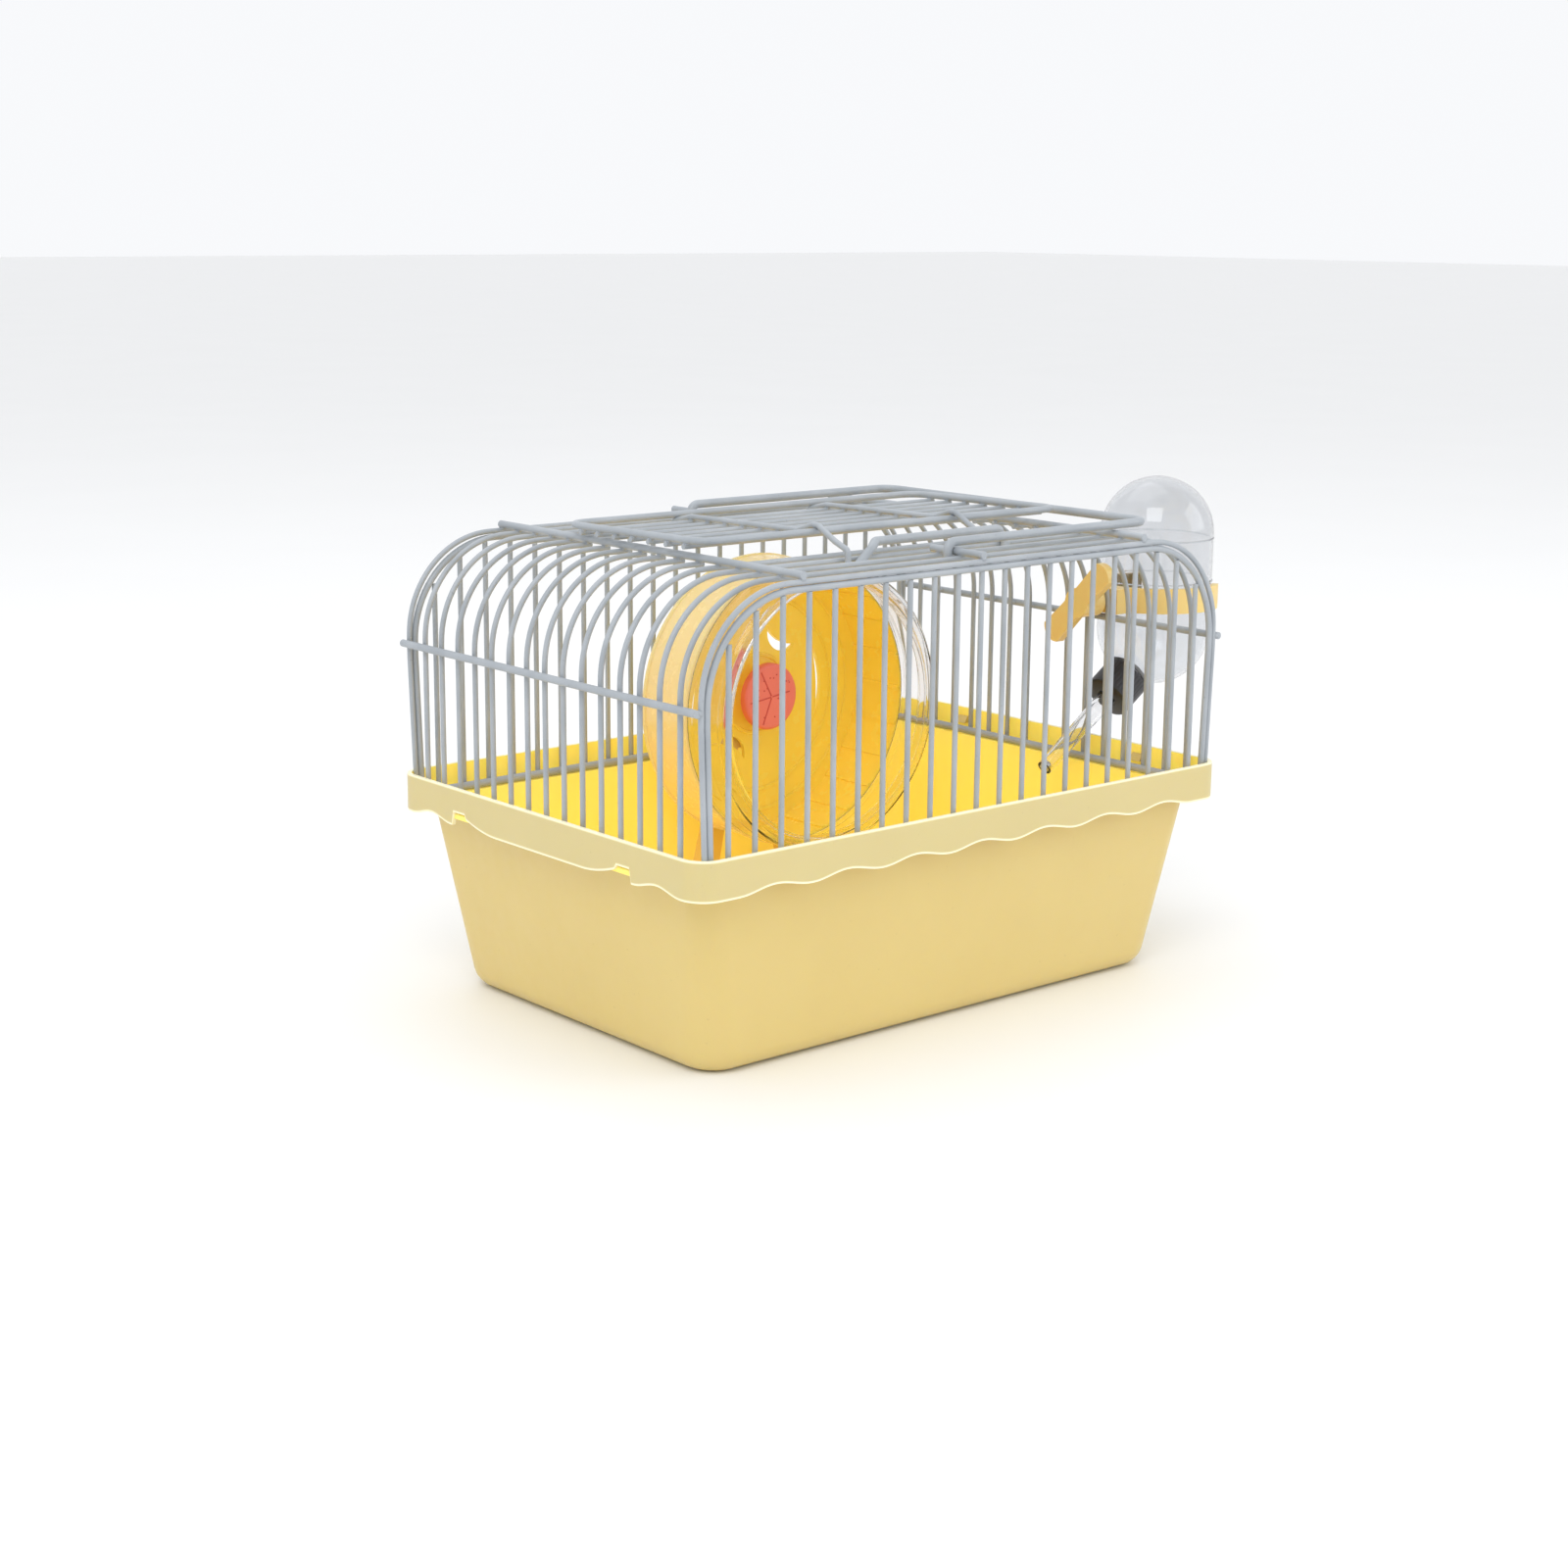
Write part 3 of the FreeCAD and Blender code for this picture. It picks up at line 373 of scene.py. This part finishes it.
def resize(verts, old, new, z):
    """Moves a rounded rectangle's points to another size and corner radius."""
    for v in verts:
        for axis in (0, 1):
            straight = old[axis] - old[2]
            wanted = new[axis] - new[2]
            place = abs(v.co[axis])
            if place > straight:
                place = wanted + (place - straight) * new[2] / old[2]
            else:
                place *= wanted / straight
            v.co[axis] = math.copysign(place, v.co[axis])
        v.co.z = z


def climb(bm, edges, levels):
    """Extrudes an outline through (half x, half y, radius, z) levels."""
    for old, new in zip(levels, levels[1:]):
        made = bmesh.ops.extrude_edge_only(bm, edges=edges)["geom"]
        resize([v for v in made if isinstance(v, bmesh.types.BMVert)], old, new, new[3])
        edges = [e for e in made if isinstance(e, bmesh.types.BMEdge)]
    return edges


def skirt_edge(x, y):
    """How far the skirt's lower edge stands above its lowest line."""
    wave_reach = tray_half.x - 15.5 * MM
    if abs(y) > tray_half.y - MM:
        if abs(x) >= wave_reach:
            return 0.0
        return MM * (1 - math.cos(7 * math.tau * (x + wave_reach) / (2 * wave_reach)))
    if abs(x) < tray_half.x - MM:
        return 0.0
    aside = abs(y) / MM
    if 24 < aside < 41.5:
        return 3.3 * MM * ((aside - 24) / 17.5) ** 1.8
    if 41.5 <= aside <= 48.5:
        return 4.6 * MM
    if 50 < aside < 73.5:
        return 1.0 * MM * (1 - math.cos(math.tau * (aside - 50) / 23.5))
    return 0.0


def cut_ledge(bm, place, way):
    """Cuts the level ledge along a plane, and leaves the walls and the floor whole."""
    faces = [f for f in bm.faces if all(v.co.z > ledge_top - 0.1 * MM for v in f.verts)]
    edges = list({e for f in faces for e in f.edges})
    verts = list({v for f in faces for v in f.verts})
    bmesh.ops.bisect_plane(bm, geom=faces + edges + verts, dist=1e-6, plane_co=place, plane_no=way)


def build_tray_body():
    inner_x = tray_half.x - BODY_INSET - TRAY_WALL
    inner_y = tray_half.y - BODY_INSET - TRAY_WALL
    foot_x = FOOT_HALF_LENGTH - TRAY_WALL
    foot_y = FOOT_HALF_WIDTH - TRAY_WALL
    corner = FOOT_CORNER
    levels = [(foot_x - FLOOR_RADIUS, foot_y - FLOOR_RADIUS, corner - FLOOR_RADIUS, TRAY_WALL)]
    for step in (1, 2, 3, 4, 5):
        angle = math.radians(16 * step)
        draw_in = FLOOR_RADIUS * (1 - math.sin(angle))
        levels.append((foot_x - draw_in, foot_y - draw_in, corner - draw_in,
                       TRAY_WALL + FLOOR_RADIUS * (1 - math.cos(angle))))
    start = levels[-1]
    for share in (0.04, 0.35, 0.65, 0.96, 1.0):
        levels.append((start[0] + (inner_x - start[0]) * share, start[1] + (inner_y - start[1]) * share,
                       start[2] + (LEDGE_CORNER - start[2]) * share,
                       start[3] + (ledge_top - start[3]) * share))
    rim_x = tray_half.x - TRAY_WALL / 2
    rim_y = tray_half.y - TRAY_WALL / 2
    levels.append((rim_x, rim_y, RIM_RADIUS - TRAY_WALL / 2, ledge_top))
    bm = bmesh.new()
    edges = outline(bm, *levels[0][:3], levels[0][3])
    climb(bm, edges, levels)
    # The floor's middle panel stands up a little inside a narrow slope.
    panel = min(bm.faces, key=lambda f: (f.calc_center_median().z, -f.calc_area()))
    bmesh.ops.inset_region(bm, faces=[panel], thickness=4 * MM, depth=0)
    bmesh.ops.inset_region(bm, faces=[panel], thickness=1.2 * MM, depth=0)
    bmesh.ops.translate(bm, vec=(0, 0, 0.4 * MM), verts=panel.verts)
    slot_x = corners("base_ring")[1].x - 2.0 * MM
    for side in (-1, 1):
        for cut in (slot_x - 2.0 * MM, slot_x + 2.0 * MM):
            cut_ledge(bm, (side * cut, 0, 0), (1, 0, 0))
        for cut in (NOTCH - 4.5 * MM, NOTCH + 4.5 * MM):
            cut_ledge(bm, (0, side * cut, 0), (0, 1, 0))
    slots = []
    for face in bm.faces:
        centre = face.calc_center_median()
        on_ledge = centre.z > ledge_top - 0.1 * MM
        if on_ledge and abs(abs(centre.x) - slot_x) < 2 * MM and abs(abs(centre.y) - NOTCH) < 4.5 * MM:
            slots.append(face)
    bmesh.ops.delete(bm, geom=slots, context="FACES")
    turn_outwards(bm)
    floor = min(bm.faces, key=lambda f: f.calc_center_median().length)
    if floor.normal.z < 0:
        bmesh.ops.reverse_faces(bm, faces=bm.faces)
    return keep_piece(bm, "tray_body", "tray", "tray_plastic", 60)


def build_tray_skirt():
    bm = bmesh.new()
    edge_highlight_mask = bm.verts.layers.float.new("painted_edge_highlight")
    top = (tray_half.x, tray_half.y, RIM_RADIUS, tray_high.z)
    outline(bm, *top[:3], top[3])
    bmesh.ops.delete(bm, geom=bm.faces[:], context="FACES_ONLY")
    for edge in [e for e in bm.edges if e.calc_length() > 20 * MM]:
        bmesh.ops.subdivide_edges(bm, edges=[edge], cuts=int(edge.calc_length() / (0.95 * MM)))
    low = tray_high.z - SKIRT_DEPTH
    rows = [tray_high.z, tray_high.z - 0.9 * MM, low + 6.4 * MM, low + 1.0 * MM, low]
    climb(bm, bm.edges[:], [top[:3] + (z,) for z in rows])
    for v in bm.verts:
        above = v.co.z - low
        # Painted highlight: the top row (0.7) and the lower edge row (1.0) are marked, and the skirt's
        # material paints them pale cream.
        v[edge_highlight_mask] = 0.0
        if above > SKIRT_DEPTH - 0.1 * MM:
            v[edge_highlight_mask] = 0.7
        if above < 0.1 * MM:
            v[edge_highlight_mask] = 1.0
        if above < 1.1 * MM:
            v.co.z += skirt_edge(v.co.x, v.co.y)
        elif above < 6.5 * MM:
            v.co.z += 0.15 * skirt_edge(v.co.x, v.co.y)
    turn_outwards(bm)
    return keep_piece(bm, "tray_skirt", "tray", "tray_plastic", 60)


def build_lugs():
    """Snap lugs that hold the wire ring down, inside the short sides."""
    ring_high = corners("base_ring")[1]
    bm = bmesh.new()
    for end in (-1, 1):
        for side in (-1, 1):
            reach = tray_half.x - TRAY_WALL / 2 - ring_high.x - 0.3 * MM
            made = bmesh.ops.create_cube(bm, size=1.0)["verts"]
            bmesh.ops.scale(bm, vec=(reach, 5 * MM, 2.6 * MM), verts=made)
            slope = [v for v in made if v.co.x < 0 and v.co.z > 0]
            bmesh.ops.translate(bm, vec=(0.5 * reach, 0, 0), verts=slope)
            bmesh.ops.scale(bm, vec=(end, 1, 1), verts=made)
            place = Vector((end * (ring_high.x + 0.3 * MM + reach / 2), side * NOTCH,
                            ring_high.z + 1.7 * MM))
            bmesh.ops.translate(bm, vec=place, verts=made)
    turn_outwards(bm)
    lugs = keep_piece(bm, "tray_lugs", "tray", "tray_plastic")
    round_edges(lugs, 0.3 * MM, 2)


def build_tray():
    body = build_tray_body()
    body.data.materials.append(TRAY_OUTSIDE)
    body.data.materials[0] = TRAY_INSIDE_PAINTED_GLOW
    thicken(body, TRAY_WALL).material_offset = 1
    round_edges(body, 0.3 * MM, 2, 50)
    skirt = build_tray_skirt()
    skirt.data.materials[0] = TRAY_SKIRT_PAINTED_LIGHT
    skirt.data.materials.append(TRAY_INSIDE_PAINTED_GLOW)
    thicken(skirt, TRAY_WALL, even=False).material_offset = 1
    round_edges(skirt, 0.38 * MM, 3, 50)
    build_lugs()
    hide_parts("tray")
    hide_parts("tray")


build_tray()


# --- Weld nubs where wires cross ---------------------------------------------
THIN = 1.8 * MM
hoop_front = middle("front_edge_hoop").y
hoop_rear = middle("rear_edge_hoop").y
HOOP_SPACES = 16
BAR_SPACES = 22
DOOR_BARS = 7
DOOR_CROSS_PLACES = (-33 * MM, 28 * MM)
HOOPS = [hoop_rear + (hoop_front - hoop_rear) * n / HOOP_SPACES for n in range(HOOP_SPACES + 1)]
end_x = corners("rear_edge_hoop")[1].x - THIN / 2
BARS = [-end_x + 2 * end_x * n / BAR_SPACES for n in range(1, BAR_SPACES)]


def add_nub(bm, place, across):
    """Small squashed bead of weld and coat, longest along the thicker wire."""
    made = bmesh.ops.create_uvsphere(bm, u_segments=8, v_segments=6, radius=1.0)["verts"]
    size = Vector((0.95, 0.95, 0.95)) * MM
    size[across] = draw.uniform(1.35, 1.75) * MM
    bmesh.ops.scale(bm, vec=size, verts=made)
    bmesh.ops.translate(bm, vec=place, verts=made)


def build_weld_nubs():
    bm = bmesh.new()
    for side, name in ((-1, "left"), (1, "right")):
        mid = middle(name + "_cross_wire")
        roof = middle("roof_" + name + "_cross_wire")
        for y in HOOPS:
            add_nub(bm, Vector((side * (end_x + THIN * 0.45), y, mid.z)), 1)
            add_nub(bm, Vector((roof.x, y, roof.z - 1.1 * MM)), 1)
            add_nub(bm, Vector((side * (end_x - THIN * 0.45), y, middle("base_ring").z)), 1)
    for side in (-1, 1):
        for x in BARS:
            add_nub(bm, Vector((x, side * (hoop_rear - THIN * 0.45), middle("base_ring").z)), 0)
        pivot = middle("rear_pivot_wire")
        for n in (0, 1, 2):
            add_nub(bm, Vector((0, side * HOOPS[n], pivot.z - 1.1 * MM)), 1)
    turn_outwards(bm)
    keep_piece(bm, "weld_nubs_cage", "wire_top", "coated_wire")
    bm = bmesh.new()
    frame_low, frame_high = corners("door_frame")
    bars_low, bars_high = corners("door_bars")
    tip = (bars_high.z - bars_low.z - THIN) / (bars_high.y - bars_low.y - THIN)
    span = bars_high.y - bars_low.y - THIN
    for n in range(DOOR_BARS):
        share = n / (DOOR_BARS - 1)
        y = bars_low.y + THIN / 2 + span * share
        rest = bars_high.z - THIN / 2 - tip * span * share
        for x in (frame_low.x + 1.2 * MM, frame_high.x - 1.2 * MM) + DOOR_CROSS_PLACES:
            add_nub(bm, Vector((x, y, rest + 0.85 * MM)), 1)
    turn_outwards(bm)
    keep_piece(bm, "weld_nubs_door", "door", "coated_wire")


build_weld_nubs()


# --- Running wheel ----------------------------------------------------------
MOUTH = 45.5
DISH_WALL = 1.6


def add_turned(bm, profile, rounding, steps=96):
    """Spins a closed (radius, depth) profile about the wheel's axis."""
    verts = [bm.verts.new((r * MM, y * MM, 0)) for r, y in profile]
    edges = [bm.edges.new((a, b)) for a, b in zip(verts, verts[1:] + verts[:1])]
    if rounding:
        bmesh.ops.bevel(bm, geom=verts, offset=rounding, affect="VERTICES", segments=3,
                        profile=0.5, material=-1)
        edges = [e for e in bm.edges if not e.link_faces]
        verts = list({v for e in edges for v in e.verts})
    bmesh.ops.spin(bm, geom=verts + edges, cent=(0, 0, 0), axis=(0, 1, 0), angle=math.tau,
                   steps=steps, use_merge=True)


def place_on_axle(bm, y):
    bmesh.ops.translate(bm, vec=(axis_x, y, axis_z), verts=bm.verts)


def add_spoke_bar(bm, angle, radius, size, y):
    """Bar of a size (across, along the axle, deep) at an angle round the wheel."""
    made = bmesh.ops.create_cube(bm, size=1.0)["verts"]
    bmesh.ops.scale(bm, vec=size, verts=made)
    bmesh.ops.translate(bm, vec=(0, y, radius), verts=made)
    bmesh.ops.rotate(bm, cent=(0, 0, 0), matrix=Matrix.Rotation(angle, 3, "Y"), verts=made)


def build_wheel_cover():
    """Clear front: outer wall with two beads, rolled shoulder, front ring and lip."""
    rim = wheel_radius / MM
    depth = (cover_high.y - cover_low.y) / MM
    bead = rim + 0.15
    bm = bmesh.new()
    add_turned(bm, [
        (rim, depth), (rim, depth - 1.2), (bead, depth - 1.9), (bead, depth - 2.6), (rim, depth - 3.3),
        (rim, 9.2), (bead, 8.5), (bead, 7.8), (rim, 7.1), (rim, 1.8), (rim - 1.8, 0), (MOUTH, 0),
        (MOUTH, 4.0), (MOUTH + 1.1, 4.0), (MOUTH + 1.1, 1.2), (rim - 2.4, 1.2), (rim - 1.2, 2.4),
        (rim - 1.2, depth),
    ], 0.3 * MM)
    turn_outwards(bm)
    place_on_axle(bm, cover_low.y)
    cover = keep_piece(bm, "cover_shell", "wheel", "clear_plastic", 50)
    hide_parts("wheel_cover")


def build_dish_rings():
    """Raised rings and a rolled edge that stiffen the dish."""
    bm = bmesh.new()
    floor = (dish_high.y - dish_low.y) / MM - DISH_WALL
    for radius, proud in ((14.5, 0.9), (36.0, 0.6), (44.0, 0.6)):
        add_turned(bm, [(radius - 0.9, floor + 0.2), (radius - 0.5, floor - proud),
                        (radius + 0.5, floor - proud), (radius + 0.9, floor + 0.2)], 0)
    rim = wheel_radius / MM
    add_turned(bm, [(rim - 0.3, 0.1), (rim + 0.5, 0.5), (rim + 0.5, 1.9), (rim - 0.3, 2.3)], 0)
    add_turned(bm, [(rim - 0.3, floor - 0.6), (rim + 0.5, floor - 0.2), (rim + 0.5, floor + 1.0),
                    (rim - 0.3, floor + 1.4)], 0)
    turn_outwards(bm)
    place_on_axle(bm, dish_low.y)
    keep_piece(bm, "dish_rings", "wheel", "wheel_yellow", 50)


def build_hub_marks():
    """Dark bars and dots on the coral hub cap, painted shade that stands for engraved lines and dots."""
    cap_low, cap_high = corners("hub_cap")
    reach = (cap_high.x - cap_low.x) / 2 - 1.5 * MM
    bm = bmesh.new()
    for angle, start, end in ((-28, 0.04, 1.0), (82, 0.04, 0.8), (-98, 0.04, 0.95), (-158, 0.04, 1.0)):
        size = (0.45 * MM, 0.3 * MM, (end - start) * reach)
        add_spoke_bar(bm, math.radians(angle), (start + end) / 2 * reach, size, 0)
    for n in range(16):
        angle = draw.uniform(0, math.tau)
        made = bmesh.ops.create_uvsphere(bm, u_segments=8, v_segments=4, radius=0.32 * MM)["verts"]
        place = Matrix.Rotation(angle, 3, "Y") @ Vector((0, 0, draw.uniform(0.25, 0.9) * reach))
        bmesh.ops.translate(bm, vec=place, verts=made)
    turn_outwards(bm)
    place_on_axle(bm, cap_low.y)
    marks = keep_piece(bm, "hub_marks", "wheel", "coral_plastic")
    # Painted shade: the marks take the darker red that stands for shade in the grooves.
    marks.data.materials[0] = CORAL_GROOVE_SHADE


build_wheel_cover()
build_dish_rings()
build_hub_marks()


# --- Water bottle -----------------------------------------------------------
bottle_low, bottle_high = corners("bottle_body")
bottle_y = middle("bottle_body").y
bottle_radius = (bottle_high.y - bottle_low.y) / 2
bottle_x = bottle_high.x - bottle_radius
TILT = math.radians(34.6)
SEAM_HEIGHTS = (145.8 * MM, 130.2 * MM)
CAP_RIBS = 36
CAP_RIB_DEPTH = 0.22 * MM
spout_way = Vector((-math.cos(TILT), 0, -math.sin(TILT)))
ball_place = middle("spout_ball")
cap_middle = middle("bottle_cap")


def add_ring(bm, centre, way, radius, thick, steps=72):
    """Ring of round section about an axis through centre."""
    made = bmesh.ops.create_circle(bm, segments=10, radius=thick / 2)["verts"]
    bmesh.ops.rotate(bm, cent=(0, 0, 0), matrix=Matrix.Rotation(math.pi / 2, 3, "X"), verts=made)
    bmesh.ops.translate(bm, vec=(radius, 0, 0), verts=made)
    edges = [e for e in bm.edges if all(v in made for v in e.verts)]
    before = set(bm.verts) - set(made)
    bmesh.ops.spin(bm, geom=made + edges, cent=(0, 0, 0), axis=(0, 0, 1), angle=math.tau,
                   steps=steps, use_merge=True)
    ring = [v for v in bm.verts if v not in before]
    turn = Vector((0, 0, 1)).rotation_difference(way).to_matrix()
    bmesh.ops.rotate(bm, cent=(0, 0, 0), matrix=turn, verts=ring)
    bmesh.ops.translate(bm, vec=centre, verts=ring)


def add_closed_spin(bm, rows, steps):
    """Spins closed (radius, place along the axis) rows about Z."""
    verts = [bm.verts.new((radius * MM, 0, along * MM)) for radius, along in rows]
    edges = [bm.edges.new(pair) for pair in zip(verts, verts[1:] + verts[:1])]
    bmesh.ops.spin(bm, geom=verts + edges, cent=(0, 0, 0), axis=(0, 0, 1), angle=math.tau,
                   steps=steps, use_merge=True)


def place_on_neck(bm):
    """Turns what was made about Z onto the neck's axis, its middle at the cap's."""
    turn = Vector((0, 0, 1)).rotation_difference(spout_way).to_matrix()
    bmesh.ops.rotate(bm, cent=(0, 0, 0), matrix=turn, verts=bm.verts)
    bmesh.ops.translate(bm, vec=cap_middle, verts=bm.verts)


def cut_grip_ribs(bm):
    """Draws the cap's side in between its ribs, short of both rounded ends."""
    for v in bm.verts:
        reach = math.hypot(v.co.x, v.co.y)
        if reach > 8.0 * MM and -4.7 * MM < v.co.z < 4.3 * MM:
            wave = max(0.0, math.cos(CAP_RIBS * math.atan2(v.co.y, v.co.x))) ** 3
            v.co.xy *= 1 - CAP_RIB_DEPTH * wave / reach


def build_bottle_details():
    bm = bmesh.new()
    for z in SEAM_HEIGHTS:
        add_ring(bm, Vector((bottle_x, bottle_y, z)), Vector((0, 0, 1)), bottle_radius, 0.5 * MM)
    turn_outwards(bm)
    seams = keep_piece(bm, "bottle_seams", "bottle", "clear_plastic")
    seams.data.materials[0] = BOTTLE_CLEAR
    bm = bmesh.new()
    add_ring(bm, cap_middle - spout_way * 7.2 * MM, spout_way, 7.9 * MM, 1.5 * MM)
    turn_outwards(bm)
    keep_piece(bm, "neck_collar", "bottle", "grey_rubber")
    bm = bmesh.new()
    add_ring(bm, cap_middle + spout_way * 5.3 * MM, spout_way, 8.2 * MM, 1.1 * MM)
    add_ring(bm, ball_place + spout_way * 0.9 * MM, spout_way, 2.45 * MM, 0.55 * MM, 36)
    turn_outwards(bm)
    keep_piece(bm, "cap_beads", "cap", "black_plastic")


def build_cap():
    """Screw cap with ribs for the fingers, and the tapered spout out of its face."""
    bm = bmesh.new()
    add_closed_spin(bm, [
        (3.6, 6.0), (7.7, 6.0), (8.35, 5.8), (8.65, 5.3), (8.75, 4.6), (8.75, 4.0), (8.75, -4.6),
        (8.75, -5.3), (8.6, -5.8), (8.3, -6.0), (7.35, -6.0), (7.35, 4.5), (3.6, 4.5),
    ], 288)
    cut_grip_ribs(bm)
    turn_outwards(bm)
    place_on_neck(bm)
    cap = keep_piece(bm, "ribbed_cap", "cap", "black_plastic", 50)
    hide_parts("bottle_cap")
    bm = bmesh.new()
    add_closed_spin(bm, [
        (3.5, 3.2), (3.5, 6.0), (3.3, 16.0), (3.0, 30.0), (2.76, 43.8), (2.7, 44.6), (2.5, 45.0),
        (1.55, 45.0), (1.45, 44.8), (1.55, 44.5), (1.92, 43.6), (1.92, 3.2),
    ], 48)
    turn_outwards(bm)
    place_on_neck(bm)
    spout = keep_piece(bm, "smooth_spout", "cap", "clear_plastic", 50)
    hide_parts("spout_tube")


build_cap()
build_bottle_details()


# --- Floor, light and camera ------------------------------------------------
def build_stage():
    bm = bmesh.new()
    bmesh.ops.create_grid(bm, x_segments=1, y_segments=1, size=12.0)
    mesh = bpy.data.meshes.new("floor")
    bm.to_mesh(mesh)
    bm.free()
    floor = bpy.data.objects.new("floor", mesh)
    bpy.context.collection.objects.link(floor)
    material, board, shader = start_material("pale_floor", Roughness=0.6)
    place = board.add("ShaderNodeTexCoord").outputs["Object"]
    tone = board.blend(board.noise(place, 6.0), (0.885, 0.885, 0.88, 1), (0.905, 0.905, 0.90, 1))
    board.join(tone, shader.inputs["Base Color"])
    mesh.materials.append(material)


def soft_light(name, place, target, size, power):
    lamp = bpy.data.lights.new(name, "AREA")
    lamp.shape = "SQUARE"
    lamp.size = size
    lamp.energy = power
    holder = bpy.data.objects.new(name, lamp)
    holder.location = place
    holder.rotation_euler = (Vector(target) - Vector(place)).to_track_quat("-Z", "Y").to_euler()
    bpy.context.collection.objects.link(holder)


def build_camera():
    """A camera that looks at the front left corner from a little above."""
    turn = math.radians(-40.488)
    rise = math.radians(12.662)
    roll = math.radians(0.475)
    back = Vector((math.sin(turn) * math.cos(rise), -math.cos(turn) * math.cos(rise), math.sin(rise)))
    level = Vector((math.cos(turn), math.sin(turn), 0))
    upright = back.cross(level)
    right = level * math.cos(roll) + upright * math.sin(roll)
    up = upright * math.cos(roll) - level * math.sin(roll)
    lens = bpy.data.cameras.new("camera")
    lens.sensor_width = 36
    lens.lens = 58.57
    lens.clip_start = 0.01
    camera = bpy.data.objects.new("camera", lens)
    place = Vector((0, 0.01701, 0.0648)) + back * 0.89822
    camera.matrix_world = Matrix.Translation(place) @ Matrix((right, up, back)).transposed().to_4x4()
    bpy.context.collection.objects.link(camera)
    bpy.context.scene.camera = camera


def build_world():
    world = bpy.data.worlds.new("studio")
    world.use_nodes = True
    world.node_tree.nodes["Background"].inputs["Color"].default_value = (0.97, 0.98, 1.0, 1)
    world.node_tree.nodes["Background"].inputs["Strength"].default_value = 0.97
    bpy.context.scene.world = world
    bpy.context.scene.view_settings.view_transform = "Standard"


build_stage()
build_camera()
build_world()
soft_light("key", (-0.9, -0.7, 1.3), (0, 0, 0.06), 0.9, 8)
soft_light("fill", (1.1, -1.0, 0.7), (0, 0, 0.06), 1.0, 4)
soft_light("top", (0.1, 0.5, 1.5), (0, 0, 0.06), 1.2, 3)
